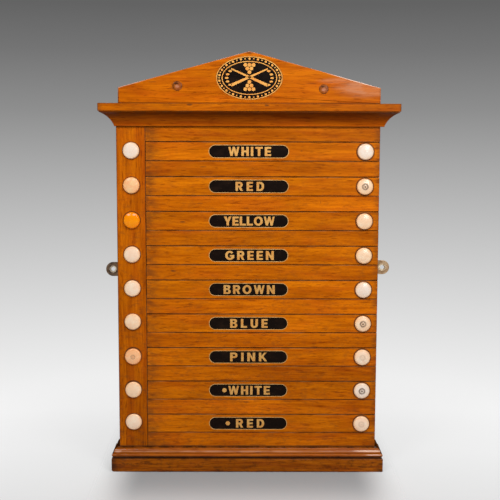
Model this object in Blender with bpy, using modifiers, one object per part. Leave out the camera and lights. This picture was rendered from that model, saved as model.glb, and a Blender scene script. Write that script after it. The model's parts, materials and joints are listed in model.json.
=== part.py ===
"""A wall-hung marking board for billiard pools: nine long slides run between the rails of a wooden case.

Lengths are in metres. X runs to the right, Z runs up and the front faces -Y. The wall is the plane
Y = 0, and the origin lies on it, midway between the two hanging plates.
"""

import math

import bmesh
import bpy
from mathutils import Matrix, Vector

# One row for each player's ball, from the top down
ROWS = ("white", "red", "yellow", "green", "brown", "blue", "pink", "spot_white", "spot_red")

# Clearances
FIT_GAP = 0.0003
RUNNING_GAP = 0.0005
CUT_OVERRUN = 0.0020

# Case: a back board with a stile at the left and ten rails in front of it
CASE_WIDTH = 0.4318
BACK_THICKNESS = 0.0222
STILE_WIDTH = 0.0476
RAIL_HEIGHT = 0.0254
TOP_RAIL_REVEAL = 0.0245
BOTTOM_RAIL_REVEAL = 0.0245
EASED_EDGE = 0.0009
EDGE_STEPS = 2

# Slides: each runs on its tongues, and its heel meets the stop lath when it is drawn right out
SLIDE_HEIGHT = 0.03175
SLIDE_THICKNESS = 0.01905
SLIDE_TRAVEL = 0.1000
TONGUE_THICKNESS = 0.0048
TONGUE_DEPTH = 0.0032
BED_SPACE = 0.00635
HEEL_SLACK = 0.0013
HEEL_LENGTH = 0.0120
HEEL_INSET = 0.0010
HEEL_SHOULDER = 0.0050
LATH_WIDTH = 0.0120

# Turned discs: the knobs of the slides and the fixed markers of the stile
KNOB_DIAMETER = 0.0266
MARKER_DIAMETER = 0.0271
MARKER_SHIFT = 0.0007
MARKER_RISE_SHARES = (0.037, 0.045, 0.028, 0.044, 0.066, 0.103, 0.033, 0.042, 0.112)
DISC_THICKNESS = 0.0062
SPIGOT_DIAMETER = 0.0095
SPIGOT_END_WALL = 0.0090
DISC_STEPS = 16
DISC_RADIUS_SHARES = (0.0, 0.52, 0.85, 1.0, 1.0, 0.93)
DISC_HEIGHT_SHARES = (1.0, 0.95, 0.79, 0.48, 0.20, 0.0)

# Base: a plinth board below the case, and a moulding round the case on top of it
PLINTH_THICKNESS = 0.0222
PLINTH_PROJECTION = 0.0127
PLINTH_WORN_CORNER = 0.0042
BASE_MOULDING_HEIGHT = 0.0180
BASE_MOULDING_SETBACK = 0.0006
OVOLO_START_SHARE = 0.18
OVOLO_REACH_SHARE = 0.74
OVOLO_FOOT_SHARE = 0.52
QUIRK_SHARE = 0.60
BEAD_HEIGHT_SHARE = 0.34
BEAD_RADIUS_SHARE = 0.15
FOOT_FILLET_SHARE = 0.72
OVOLO_STEPS = 5
BEAD_STEPS = 6

# Cornice: a cove below a flat board, both set a little to the right of the case
CORNICE_THICKNESS = 0.0131
CORNICE_PROJECTION = 0.0278
CORNICE_SHIFT = 0.0019
COVE_HEIGHT = 0.0240
COVE_PROUD = 0.0024
COVE_SETBACK = 0.0018
COVE_EDGE = 0.0012
COVE_SAG = 0.0033
COVE_STEPS = 6

# Pediment: a low gable that stands on the cornice board, with two plugs in its face
PEDIMENT_THICKNESS = 0.01905
PEDIMENT_OVERHANG = 0.0016
PEDIMENT_SHOULDER = 0.0263
PEDIMENT_RISE = 0.0596
PLUG_DIAMETER = 0.0155
PLUG_END_WALL = 0.0100
PLUG_ACROSS_SHARES = (-0.547, 0.565)
PLUG_UP_SHARES = (1.095, 0.93)
PLUG_STEPS = 20

# Hanging plates: brass, let into the back, each with a lug that stands out past the side of the case
HANG_HEIGHT = 0.3388
PLATE_STAGGER = 0.0042
PLATE_WIDTH = 0.0240
PLATE_THICKNESS = 0.0020
LUG_REACH = 0.0131
PLATE_INNER_REACH = 0.0330
HANG_HOLE_DIAMETER = 0.0070
HANG_HOLE_MOUTH = 0.0108
PLATE_STEPS = 10
HOLE_STEPS = 16

# Countersunk screws that hold the hanging plates
SCREW_HEAD_DIAMETER = 0.0078
SCREW_HEAD_DEPTH = 0.0022
SCREW_SHANK_DIAMETER = 0.0038
SCREW_END_WALL = 0.0060
SCREW_POINT = 0.0030
SCREW_SLOT_WIDTH = 0.0010
SCREW_SLOT_DEPTH = 0.0009
SCREW_INSET = 0.0110
SCREW_STEPS = 12

# Depths
RAIL_DEPTH = SLIDE_THICKNESS + BED_SPACE
CASE_DEPTH = BACK_THICKNESS + RAIL_DEPTH
FRONT = -CASE_DEPTH
HEEL_THICKNESS = BED_SPACE - HEEL_SLACK
LATH_THICKNESS = BED_SPACE - HEEL_SLACK - FIT_GAP
SPIGOT_LENGTH = SLIDE_THICKNESS - SPIGOT_END_WALL
SCREW_LENGTH = BACK_THICKNESS - SCREW_END_WALL

# Places across the board
CASE_LEFT = -CASE_WIDTH / 2
CASE_RIGHT = CASE_WIDTH / 2
FIELD_LEFT = CASE_LEFT + STILE_WIDTH + FIT_GAP
RAIL_LENGTH = CASE_RIGHT - FIELD_LEFT
SLIDE_LENGTH = RAIL_LENGTH - FIT_GAP
MARKER_X = CASE_LEFT + STILE_WIDTH / 2 + MARKER_SHIFT
KNOB_X = CASE_RIGHT - STILE_WIDTH / 2
SLIDE_LEFT = FIELD_LEFT + FIT_GAP
LATH_LEFT = SLIDE_LEFT + HEEL_INSET + HEEL_LENGTH + SLIDE_TRAVEL + FIT_GAP

# Places up the board
ROW_PITCH = SLIDE_HEIGHT + RAIL_HEIGHT
BOARD_BASE = -HANG_HEIGHT
PLINTH_TOP = BOARD_BASE + PLINTH_THICKNESS
BOTTOM_RAIL_TOP = PLINTH_TOP + BASE_MOULDING_HEIGHT + BOTTOM_RAIL_REVEAL
FIELD_TOP = BOTTOM_RAIL_TOP + len(ROWS) * ROW_PITCH - RAIL_HEIGHT
COVE_BOTTOM = FIELD_TOP + TOP_RAIL_REVEAL
CASE_TOP = COVE_BOTTOM + COVE_HEIGHT
CORNICE_TOP = CASE_TOP + CORNICE_THICKNESS

WELD = 0.000001
TURNING_WELD = 0.00001
SHARP_ANGLE = math.radians(50)
HALF_TURN = math.pi

WOOD = (0.49, 0.165, 0.012, 1.0)
SLIDE_WOOD = (0.53, 0.19, 0.016, 1.0)
RAIL_WOOD = (0.46, 0.145, 0.010, 1.0)
DARK_WOOD = (0.24, 0.065, 0.010, 1.0)
BACK_WOOD = (0.16, 0.075, 0.035, 1.0)
BONE = (0.89, 0.74, 0.58, 1.0)
PEACH_BONE = (0.90, 0.52, 0.27, 1.0)
AMBER_BONE = (0.93, 0.36, 0.02, 1.0)
BRASS = (0.55, 0.38, 0.16, 1.0)
STEEL = (0.32, 0.30, 0.27, 1.0)
BONE_ROUGHNESS = 0.30
POLISH_ROUGHNESS = 0.35
MOULDING_ROUGHNESS = 0.25
WORN_ROUGHNESS = 0.40
BARE_ROUGHNESS = 0.60
MARKER_COLOURS = {"red": PEACH_BONE, "yellow": AMBER_BONE, "pink": PEACH_BONE}


def clear_scene():
    """Remove what the file holds when Blender starts."""
    for thing in list(bpy.data.objects):
        bpy.data.objects.remove(thing, do_unlink=True)


def make_collection(name):
    """Return a new collection that is linked to the scene."""
    collection = bpy.data.collections.new(name)
    bpy.context.scene.collection.children.link(collection)
    return collection


def make_material(name, colour, roughness, metallic=0.0):
    """Return a Principled material of one colour."""
    material = bpy.data.materials.new(name)
    material.use_nodes = True
    shader = material.node_tree.nodes["Principled BSDF"]
    shader.inputs["Base Color"].default_value = colour
    shader.inputs["Roughness"].default_value = roughness
    shader.inputs["Metallic"].default_value = metallic
    return material


def add_object(name, mesh, location, collection, parent=None):
    """Link a mesh to the scene as a named object; a child's location is measured from its parent."""
    thing = bpy.data.objects.new(name, mesh)
    thing.location = location
    thing.parent = parent
    collection.objects.link(thing)
    return thing


def mesh_from(name, bm):
    """Turn a bmesh with outward normals into a mesh."""
    bmesh.ops.recalc_face_normals(bm, faces=bm.faces)
    mesh = bpy.data.meshes.new(name)
    bm.to_mesh(mesh)
    bm.free()
    return mesh


def block_mesh(name, low, high):
    """Return a box between two corners."""
    low, high = Vector(low), Vector(high)
    size = high - low
    bm = bmesh.new()
    place = Matrix.Translation((low + high) / 2) @ Matrix.Diagonal(size.to_4d())
    bmesh.ops.create_cube(bm, size=1.0, matrix=place)
    return mesh_from(name, bm)


def prism_bmesh(outline, length, turn):
    """Fill a flat outline, make it as thick as length, centred on its plane, and turn it into place."""
    curve = bpy.data.curves.new("outline", "CURVE")
    curve.dimensions = "2D"
    curve.fill_mode = "BOTH"
    curve.extrude = length / 2
    spline = curve.splines.new("POLY")
    spline.points.add(len(outline) - 1)
    for point, (across, up) in zip(spline.points, outline):
        point.co = (across, up, 0.0, 1.0)
    spline.use_cyclic_u = True
    holder = bpy.data.objects.new("outline", curve)
    bpy.context.scene.collection.objects.link(holder)
    evaluated = holder.evaluated_get(bpy.context.evaluated_depsgraph_get())
    filled = bpy.data.meshes.new_from_object(evaluated)
    bm = bmesh.new()
    bm.from_mesh(filled)
    bmesh.ops.remove_doubles(bm, verts=bm.verts, dist=WELD)
    for end in (-1, 1):
        cap = [face for face in bm.faces if all(vert.co.z * end > 0 for vert in face.verts)]
        bmesh.ops.dissolve_faces(bm, faces=cap)
    bmesh.ops.transform(bm, matrix=turn, verts=bm.verts)
    bpy.data.objects.remove(holder, do_unlink=True)
    bpy.data.meshes.remove(filled)
    return bm


# An outline's two axes and its thickness, turned to Y, Z and X, or to X, Z and -Y
ALONG_X = Matrix(((0, 0, 1, 0), (1, 0, 0, 0), (0, 1, 0, 0), (0, 0, 0, 1)))
ALONG_Y = Matrix(((1, 0, 0, 0), (0, 0, -1, 0), (0, 1, 0, 0), (0, 0, 0, 1)))


def turned_mesh(name, profile):
    """Return an open profile of radius and height, from its top down, as edges in the XZ plane."""
    mesh = bpy.data.meshes.new(name)
    points = [(radius, 0.0, height) for radius, height in profile]
    mesh.from_pydata(points, [(i, i + 1) for i in range(len(points) - 1)], [])
    return mesh


def turn_it(thing, steps):
    """Turn an object's profile about its own Z axis."""
    screw = thing.modifiers.new("turning", "SCREW")
    screw.axis = "Z"
    screw.steps = steps
    screw.render_steps = steps
    screw.use_merge_vertices = True
    screw.merge_threshold = TURNING_WELD
    screw.use_smooth_shade = True


def ease_edges(thing, width, steps=EDGE_STEPS):
    """Round an object's sharp edges."""
    bevel = thing.modifiers.new("eased edges", "BEVEL")
    bevel.width = width
    bevel.segments = steps
    bevel.limit_method = "ANGLE"
    bevel.angle_limit = SHARP_ANGLE


def cut(thing, cutter):
    """Subtract a cutter from an object."""
    boolean = thing.modifiers.new("cut by " + cutter.name, "BOOLEAN")
    boolean.operation = "DIFFERENCE"
    boolean.solver = "EXACT"
    boolean.object = cutter


def join_to(thing, addition):
    """Make a hidden solid part of an object."""
    boolean = thing.modifiers.new("joined to " + addition.name, "BOOLEAN")
    boolean.operation = "UNION"
    boolean.solver = "EXACT"
    boolean.object = addition


def add_cutter(name, mesh, location, cutters, parent=None):
    """Link a mesh as a cutter, which is shown in wire and never rendered."""
    cutter = add_object(name, mesh, location, cutters, parent)
    cutter.display_type = "WIRE"
    cutter.hide_render = True
    return cutter


def eased_corner(corner, back, onward, radius, steps=EDGE_STEPS):
    """Return a quarter round in a corner, from the side that leads to it to the side that leaves it."""
    corner, back, onward = Vector(corner), Vector(back), Vector(onward)
    centre = corner + (back + onward) * radius
    points = []
    for step in range(steps + 1):
        angle = HALF_TURN / 2 * step / steps
        points.append(centre - (onward * math.cos(angle) + back * math.sin(angle)) * radius)
    return [tuple(point) for point in points]


def arc_between(start, end, sag, steps):
    """Return an arc that bows by sag to the left of the way from start to end."""
    start, end = Vector(start), Vector(end)
    chord = end - start
    half = chord.length / 2
    radius = (half * half + sag * sag) / (2 * sag)
    left = Vector((-chord.y, chord.x)).normalized()
    centre = (start + end) / 2 + left * (sag - radius)
    sweep = math.asin(half / radius)
    points = []
    for step in range(steps + 1):
        angle = sweep * (1 - 2 * step / steps)
        offset = left * math.cos(angle) - chord.normalized() * math.sin(angle)
        points.append(tuple(centre + offset * radius))
    return points


def slide_section():
    """Outline of a slide in depth and height, from the middle of its front face: tongues above and below."""
    half = SLIDE_HEIGHT / 2 - RUNNING_GAP
    tongue_front = (SLIDE_THICKNESS - TONGUE_THICKNESS) / 2
    tongue_back = tongue_front + TONGUE_THICKNESS
    tip = half + TONGUE_DEPTH
    outline = eased_corner((0, -half), (1, 0), (0, 1), EASED_EDGE)
    outline += eased_corner((0, half), (0, -1), (1, 0), EASED_EDGE)
    outline += [(tongue_front, half), (tongue_front, tip), (tongue_back, tip), (tongue_back, half)]
    outline += [(SLIDE_THICKNESS, half), (SLIDE_THICKNESS, -half)]
    outline += [(tongue_back, -half), (tongue_back, -tip), (tongue_front, -tip), (tongue_front, -half)]
    return outline


def rail_section(bottom, top, groove_below, groove_above):
    """Outline of a rail in depth and height, with a groove for a tongue on each side that has a slide."""
    groove_front = (SLIDE_THICKNESS - TONGUE_THICKNESS) / 2 - RUNNING_GAP
    groove_back = groove_front + TONGUE_THICKNESS + 2 * RUNNING_GAP
    back = RAIL_DEPTH - FIT_GAP
    outline = eased_corner((0, bottom), (1, 0), (0, 1), EASED_EDGE)
    outline += eased_corner((0, top), (0, -1), (1, 0), EASED_EDGE)
    if groove_above:
        floor = top - TONGUE_DEPTH
        outline += [(groove_front, top), (groove_front, floor), (groove_back, floor), (groove_back, top)]
    outline += [(back, top), (back, bottom)]
    if groove_below:
        floor = bottom + TONGUE_DEPTH
        outline += [(groove_back, bottom), (groove_back, floor)]
        outline += [(groove_front, floor), (groove_front, bottom)]
    return outline


def base_moulding_profile(back):
    """Outline of the base moulding in projection and height: an ovolo over a quirk, a bead and a fillet."""
    reach = PLINTH_PROJECTION - BASE_MOULDING_SETBACK
    height = BASE_MOULDING_HEIGHT
    ovolo_top = Vector((reach * OVOLO_START_SHARE, height))
    ovolo_foot = Vector((reach * OVOLO_REACH_SHARE, height * OVOLO_FOOT_SHARE))
    outline = [(back, height)]
    for step in range(OVOLO_STEPS + 1):
        angle = HALF_TURN / 2 * step / OVOLO_STEPS
        across = ovolo_top.x + (ovolo_foot.x - ovolo_top.x) * math.sin(angle)
        up = ovolo_foot.y + (ovolo_top.y - ovolo_foot.y) * math.cos(angle)
        outline.append((across, up))
    bead_radius = height * BEAD_RADIUS_SHARE
    bead_centre = Vector((reach - bead_radius, height * BEAD_HEIGHT_SHARE))
    outline.append((reach * QUIRK_SHARE, bead_centre.y + bead_radius))
    for step in range(BEAD_STEPS + 1):
        angle = HALF_TURN / 2 - HALF_TURN * step / BEAD_STEPS
        bead = bead_centre + Vector((math.cos(angle), math.sin(angle))) * bead_radius
        outline.append(tuple(bead))
    outline.append((reach * FOOT_FILLET_SHARE, bead_centre.y - bead_radius))
    outline.append((reach * FOOT_FILLET_SHARE, FIT_GAP))
    outline.append((back, FIT_GAP))
    return outline


def cove_profile(back):
    """Outline of the cove in projection and height: a hollow between two narrow flats."""
    lip = COVE_PROUD + CORNICE_SHIFT
    top = CORNICE_PROJECTION - COVE_SETBACK
    outline = [(back, 0), (lip, 0)]
    outline += arc_between((lip, COVE_EDGE), (top, COVE_HEIGHT - COVE_EDGE), COVE_SAG, COVE_STEPS)
    outline += [(top, COVE_HEIGHT), (back, COVE_HEIGHT)]
    return outline


def clip(bm, point, normal):
    """Cut away what lies on the normal's side of a plane, and close the cut."""
    geometry = bm.verts[:] + bm.edges[:] + bm.faces[:]
    result = bmesh.ops.bisect_plane(
        bm, geom=geometry, plane_co=point, plane_no=normal, dist=WELD, clear_outer=True)
    edges = [item for item in result["geom_cut"] if isinstance(item, bmesh.types.BMEdge)]
    bmesh.ops.edgeloop_fill(bm, edges=edges)


def moulding_set(name, profile_at, bottom, shift, material, collection):
    """Lay a moulding round the front and both sides of the case, with mitred corners.

    The profile's own line is the case's outline, moved to the right by shift.
    """
    half = CASE_WIDTH / 2
    reach = max(across for across, up in profile_at(FIT_GAP))
    run = CASE_WIDTH + 4 * reach
    front_outline = [(-across, up) for across, up in profile_at(FIT_GAP)]
    bm = prism_bmesh(front_outline, run, ALONG_X)
    mitre_gap = FIT_GAP / 2
    clip(bm, (half - mitre_gap, 0, 0), (1, 1, 0))
    clip(bm, (-half + mitre_gap, 0, 0), (-1, 1, 0))
    pieces = [add_object(name + "_front", mesh_from(name, bm), (shift, FRONT, bottom), collection)]
    depth = 2 * (CASE_DEPTH + reach)
    for side, label in ((-1, "left"), (1, "right")):
        profile = profile_at(FIT_GAP - side * shift)
        outline = [(side * across, up) for across, up in profile]
        bm = prism_bmesh(outline, depth, ALONG_Y)
        clip(bm, (0, CASE_DEPTH, 0), (0, 1, 0))
        clip(bm, (0, mitre_gap, 0), (-side, -1, 0))
        place = (shift + side * half, FRONT, bottom)
        pieces.append(add_object(name + "_" + label, mesh_from(name, bm), place, collection))
    for piece in pieces:
        piece.data.materials.append(material)
    return pieces


def hole_mesh(name, radius, length, steps=HOLE_STEPS):
    """Return a round cutter along Y, from just in front of its origin to length behind it."""
    bm = bmesh.new()
    bmesh.ops.create_cone(
        bm, cap_ends=True, segments=steps, radius1=radius, radius2=radius, depth=length + CUT_OVERRUN,
        matrix=Matrix.Rotation(HALF_TURN / 2, 4, "X"))
    bmesh.ops.translate(bm, verts=bm.verts, vec=(0, (length - CUT_OVERRUN) / 2, 0))
    return mesh_from(name, bm)


def disc_profile(diameter):
    """Radius and height of a turned disc: a shallow dome, a rounded rim, a flat back and a spigot."""
    profile = []
    for radius_share, height_share in zip(DISC_RADIUS_SHARES, DISC_HEIGHT_SHARES):
        profile.append((radius_share * diameter / 2, FIT_GAP + height_share * DISC_THICKNESS))
    spigot = SPIGOT_DIAMETER / 2
    return profile + [(spigot, FIT_GAP), (spigot, -SPIGOT_LENGTH), (0, -SPIGOT_LENGTH)]


def add_disc(name, diameter, colour, location, collection, parent=None):
    """Add a turned disc that faces the front, with its spigot behind its origin."""
    disc = add_object(name, turned_mesh(name, disc_profile(diameter)), location, collection, parent)
    disc.rotation_euler = (HALF_TURN / 2, 0, 0)
    turn_it(disc, DISC_STEPS)
    disc.data.materials.append(make_material(name, colour, BONE_ROUGHNESS))
    return disc


def row_centre(row):
    """Height of a row's middle."""
    return FIELD_TOP - SLIDE_HEIGHT / 2 - row * ROW_PITCH


def marker_place(row):
    """Return where a row's marker is: like a hand-bored hole, a little above the middle of its slide."""
    rise = MARKER_RISE_SHARES[row] * MARKER_DIAMETER
    return (MARKER_X, FRONT, row_centre(row) + rise)


def add_back_board(parts):
    """Add the board that everything else is fixed to; the hanging plates cut their own pockets in it."""
    low = (CASE_LEFT, -BACK_THICKNESS, PLINTH_TOP + FIT_GAP)
    mesh = block_mesh("back_board", low, (CASE_RIGHT, 0, CASE_TOP))
    board = add_object("back_board", mesh, (0, 0, 0), parts)
    board.data.materials.append(make_material("back_board", BACK_WOOD, BARE_ROUGHNESS))
    return board


def add_stile(parts, cutters):
    """Add the upright at the left, with a blind hole for each marker's spigot."""
    low = (CASE_LEFT, FRONT, PLINTH_TOP + FIT_GAP)
    high = (CASE_LEFT + STILE_WIDTH, FRONT + RAIL_DEPTH - FIT_GAP, CASE_TOP)
    stile = add_object("left_stile", block_mesh("left_stile", low, high), (0, 0, 0), parts)
    ease_edges(stile, EASED_EDGE)
    hole = hole_mesh("spigot hole", SPIGOT_DIAMETER / 2 + FIT_GAP, SPIGOT_LENGTH + FIT_GAP)
    for row, name in enumerate(ROWS):
        cutter = add_cutter("marker_hole_" + name, hole, marker_place(row), cutters)
        cut(stile, cutter)
    stile.data.materials.append(make_material("left_stile", WOOD, POLISH_ROUGHNESS))
    return stile


def add_rails(parts, cutters):
    """Add the rails above, between and below the slides, notched at the back for the stop lath."""
    low = (LATH_LEFT - FIT_GAP, FRONT + RAIL_DEPTH - 2 * FIT_GAP - LATH_THICKNESS, PLINTH_TOP)
    high = (LATH_LEFT + LATH_WIDTH + FIT_GAP, FRONT + RAIL_DEPTH + CUT_OVERRUN, CASE_TOP + CUT_OVERRUN)
    notch = add_cutter("lath_notch", block_mesh("lath_notch", low, high), (0, 0, 0), cutters)
    middle = (FIELD_LEFT + CASE_RIGHT) / 2
    spans = [("top_rail", FIELD_TOP, CASE_TOP, True, False)]
    for row, name in enumerate(ROWS[:-1]):
        top = row_centre(row) - SLIDE_HEIGHT / 2
        spans.append(("rail_below_" + name, top - RAIL_HEIGHT, top, True, True))
    spans.append(("bottom_rail", PLINTH_TOP + FIT_GAP, BOTTOM_RAIL_TOP, False, True))
    for name, bottom, top, groove_below, groove_above in spans:
        outline = rail_section(bottom, top, groove_below, groove_above)
        bm = prism_bmesh(outline, RAIL_LENGTH, ALONG_X)
        rail = add_object(name, mesh_from(name, bm), (middle, FRONT, 0), parts)
        cut(rail, notch)
        rail.data.materials.append(make_material(name, RAIL_WOOD, POLISH_ROUGHNESS))


def add_stop_lath(parts):
    """Add the upright lath behind the slides, which stops each slide by its heel."""
    back = FRONT + RAIL_DEPTH - FIT_GAP
    low = (LATH_LEFT, back - LATH_THICKNESS, PLINTH_TOP + FIT_GAP)
    mesh = block_mesh("stop_lath", low, (LATH_LEFT + LATH_WIDTH, back, CASE_TOP))
    lath = add_object("stop_lath", mesh, (0, 0, 0), parts)
    lath.data.materials.append(make_material("stop_lath", BACK_WOOD, BARE_ROUGHNESS))


def add_slides(parts, cutters):
    """Add the slides with their knobs; each hangs from an empty at the left end of its front face."""
    heel_half = SLIDE_HEIGHT / 2 - HEEL_SHOULDER
    heel_back = SLIDE_THICKNESS + HEEL_THICKNESS
    heel = block_mesh("heel", (0, SLIDE_THICKNESS / 2, -heel_half), (HEEL_LENGTH, heel_back, heel_half))
    hole = hole_mesh("spigot hole", SPIGOT_DIAMETER / 2 + FIT_GAP, SPIGOT_LENGTH + FIT_GAP)
    for row, name in enumerate(ROWS):
        runner = bpy.data.objects.new("runner_" + name, None)
        runner.location = (SLIDE_LEFT, FRONT, row_centre(row))
        parts.objects.link(runner)
        bm = prism_bmesh(slide_section(), SLIDE_LENGTH, ALONG_X)
        mesh = mesh_from("slide_" + name, bm)
        slide = add_object("slide_" + name, mesh, (SLIDE_LENGTH / 2, 0, 0), parts, runner)
        join_to(slide, add_cutter("heel_" + name, heel, (HEEL_INSET, 0, 0), cutters, runner))
        knob_place = (KNOB_X - SLIDE_LEFT, 0, 0)
        cut(slide, add_cutter("knob_hole_" + name, hole, knob_place, cutters, runner))
        slide.data.materials.append(make_material("slide_" + name, SLIDE_WOOD, POLISH_ROUGHNESS))
        add_disc("knob_" + name, KNOB_DIAMETER, BONE, knob_place, parts, runner)


def add_markers(parts):
    """Add the fixed markers, one at the left of each slide."""
    for row, name in enumerate(ROWS):
        colour = MARKER_COLOURS.get(name, BONE)
        add_disc("marker_" + name, MARKER_DIAMETER, colour, marker_place(row), parts)


def add_base(parts):
    """Add the plinth board and the moulding on top of it."""
    reach = CASE_WIDTH / 2 + PLINTH_PROJECTION
    radius = EASED_EDGE
    outline = eased_corner((-reach, PLINTH_THICKNESS), (1, 0), (0, -1), radius)
    outline += eased_corner((-reach, 0), (0, 1), (1, 0), PLINTH_WORN_CORNER, 2 * EDGE_STEPS)
    outline += eased_corner((reach, 0), (-1, 0), (0, 1), radius)
    outline += eased_corner((reach, PLINTH_THICKNESS), (0, -1), (-1, 0), radius)
    depth = CASE_DEPTH + PLINTH_PROJECTION
    bm = prism_bmesh(outline, depth, ALONG_Y)
    plinth = add_object("plinth", mesh_from("plinth", bm), (0, -depth / 2, BOARD_BASE), parts)
    ease_edges(plinth, EASED_EDGE)
    plinth.data.materials.append(make_material("plinth", DARK_WOOD, WORN_ROUGHNESS))
    moulding = make_material("base_moulding", DARK_WOOD, MOULDING_ROUGHNESS)
    moulding_set("base_moulding", base_moulding_profile, PLINTH_TOP, 0, moulding, parts)


def add_cornice(parts):
    """Add the cove and the flat cornice board over it."""
    moulding = make_material("cove", WOOD, POLISH_ROUGHNESS)
    moulding_set("cove", cove_profile, COVE_BOTTOM, CORNICE_SHIFT, moulding, parts)
    half = CASE_WIDTH / 2 + CORNICE_PROJECTION
    low = (-half, -CASE_DEPTH - CORNICE_PROJECTION, CASE_TOP + FIT_GAP)
    board = block_mesh("cornice_board", low, (half, 0, CORNICE_TOP))
    cornice = add_object("cornice_board", board, (CORNICE_SHIFT, 0, 0), parts)
    ease_edges(cornice, EASED_EDGE)
    cornice.data.materials.append(make_material("cornice_board", WOOD, POLISH_ROUGHNESS))


def add_pediment(parts, cutters):
    """Add the gable board and the two plugs in its face."""
    half = CASE_WIDTH / 2 + PEDIMENT_OVERHANG
    apex = PEDIMENT_SHOULDER + PEDIMENT_RISE
    outline = [(-half, 0), (half, 0), (half, PEDIMENT_SHOULDER), (0, apex), (-half, PEDIMENT_SHOULDER)]
    foot = CORNICE_TOP + FIT_GAP
    bm = prism_bmesh(outline, PEDIMENT_THICKNESS, ALONG_Y)
    place = (CORNICE_SHIFT, -PEDIMENT_THICKNESS / 2, foot)
    pediment = add_object("pediment", mesh_from("pediment", bm), place, parts)
    ease_edges(pediment, EASED_EDGE)
    pediment.data.materials.append(make_material("pediment", WOOD, POLISH_ROUGHNESS))
    plug_length = PEDIMENT_THICKNESS - PLUG_END_WALL
    radius = PLUG_DIAMETER / 2
    hole = hole_mesh("plug hole", radius + FIT_GAP, plug_length + FIT_GAP, PLUG_STEPS)
    for label, across, up in zip(("left", "right"), PLUG_ACROSS_SHARES, PLUG_UP_SHARES):
        place = (CORNICE_SHIFT + across * half, -PEDIMENT_THICKNESS, foot + up * PEDIMENT_SHOULDER)
        cut(pediment, add_cutter("plug_hole_" + label, hole, place, cutters))
        name = "plug_" + label
        profile = [(0, 0), (radius, 0), (radius, -plug_length), (0, -plug_length)]
        plug = add_object(name, turned_mesh(name, profile), place, parts)
        plug.rotation_euler = (HALF_TURN / 2, 0, 0)
        turn_it(plug, PLUG_STEPS)
        plug.data.materials.append(make_material(name, SLIDE_WOOD, WORN_ROUGHNESS))


def plate_outline(grow):
    """Outline of a hanging plate from the centre of its lug: a strip with a round end, inwards along +X."""
    radius = PLATE_WIDTH / 2 + grow
    inner = LUG_REACH + PLATE_INNER_REACH
    points = []
    for centre, start in ((0, HALF_TURN / 2), (inner, -HALF_TURN / 2)):
        for step in range(PLATE_STEPS + 1):
            angle = start + HALF_TURN * step / PLATE_STEPS
            points.append((centre + radius * math.cos(angle), radius * math.sin(angle)))
    return points


def screw_profile(grow, overrun):
    """Radius and height of a countersunk screw, from the face of its head down to its point."""
    head = SCREW_HEAD_DIAMETER / 2 + grow
    shank = SCREW_SHANK_DIAMETER / 2 + grow
    tip = SCREW_LENGTH + grow
    profile = [(0, overrun), (head, overrun)]
    if overrun:
        profile.append((head, 0))
    profile += [(shank, -SCREW_HEAD_DEPTH), (shank, SCREW_POINT - tip), (0, -tip)]
    return profile


def add_hanging_plate(side, label, height, board, parts, cutters):
    """Add one hanging plate with its two screws, let into the back of the board."""
    turn = ALONG_Y if side < 0 else Matrix.Diagonal((-1, 1, 1, 1)) @ ALONG_Y
    lug = (side * (CASE_WIDTH / 2 + LUG_REACH), 0, height)
    centre = Vector(lug) - Vector((0, PLATE_THICKNESS / 2, 0))
    bm = prism_bmesh(plate_outline(0), PLATE_THICKNESS, turn)
    name = "hanging_plate_" + label
    plate = add_object(name, mesh_from(name, bm), centre, parts)
    plate.data.materials.append(make_material(name, BRASS, WORN_ROUGHNESS, 1.0))
    depth = PLATE_THICKNESS + FIT_GAP + CUT_OVERRUN
    bm = prism_bmesh(plate_outline(FIT_GAP), depth, turn)
    pocket_place = Vector(lug) - Vector((0, depth / 2 - CUT_OVERRUN, 0))
    cut(board, add_cutter("plate_pocket_" + label, mesh_from("plate pocket", bm), pocket_place, cutters))

    bore, mouth = HANG_HOLE_DIAMETER / 2, HANG_HOLE_MOUTH / 2
    flare = mouth - bore
    hole_profile = [(0, CUT_OVERRUN), (mouth, CUT_OVERRUN), (mouth, 0), (bore, -flare)]
    hole_profile += [(bore, -PLATE_THICKNESS - CUT_OVERRUN), (0, -PLATE_THICKNESS - CUT_OVERRUN)]
    hole_place = Vector(lug) - Vector((0, PLATE_THICKNESS, 0))
    hole = add_cutter("hang_hole_" + label, turned_mesh("hang hole", hole_profile), hole_place, cutters)
    hole.rotation_euler = (HALF_TURN / 2, 0, 0)
    turn_it(hole, HOLE_STEPS)
    cut(plate, hole)

    for label_number, distance in enumerate((SCREW_INSET, PLATE_INNER_REACH), start=1):
        place = (side * (CASE_WIDTH / 2 - distance), 0, height)
        name = "plate_screw_" + label + "_" + str(label_number)
        screw = add_object(name, turned_mesh(name, screw_profile(0, 0)), place, parts)
        screw.rotation_euler = (-HALF_TURN / 2, 0, 0)
        turn_it(screw, SCREW_STEPS)
        slot = block_mesh("slot", (-SCREW_HEAD_DIAMETER, -SCREW_SLOT_DEPTH, -SCREW_SLOT_WIDTH / 2),
                          (SCREW_HEAD_DIAMETER, CUT_OVERRUN, SCREW_SLOT_WIDTH / 2))
        cut(screw, add_cutter("slot_" + name, slot, place, cutters))
        screw.data.materials.append(make_material(name, STEEL, WORN_ROUGHNESS, 1.0))
        shaft_mesh = turned_mesh(name, screw_profile(FIT_GAP, CUT_OVERRUN))
        shaft = add_cutter("shaft_" + name, shaft_mesh, place, cutters)
        shaft.rotation_euler = (-HALF_TURN / 2, 0, 0)
        turn_it(shaft, SCREW_STEPS)
        cut(plate, shaft)
        cut(board, shaft)


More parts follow.
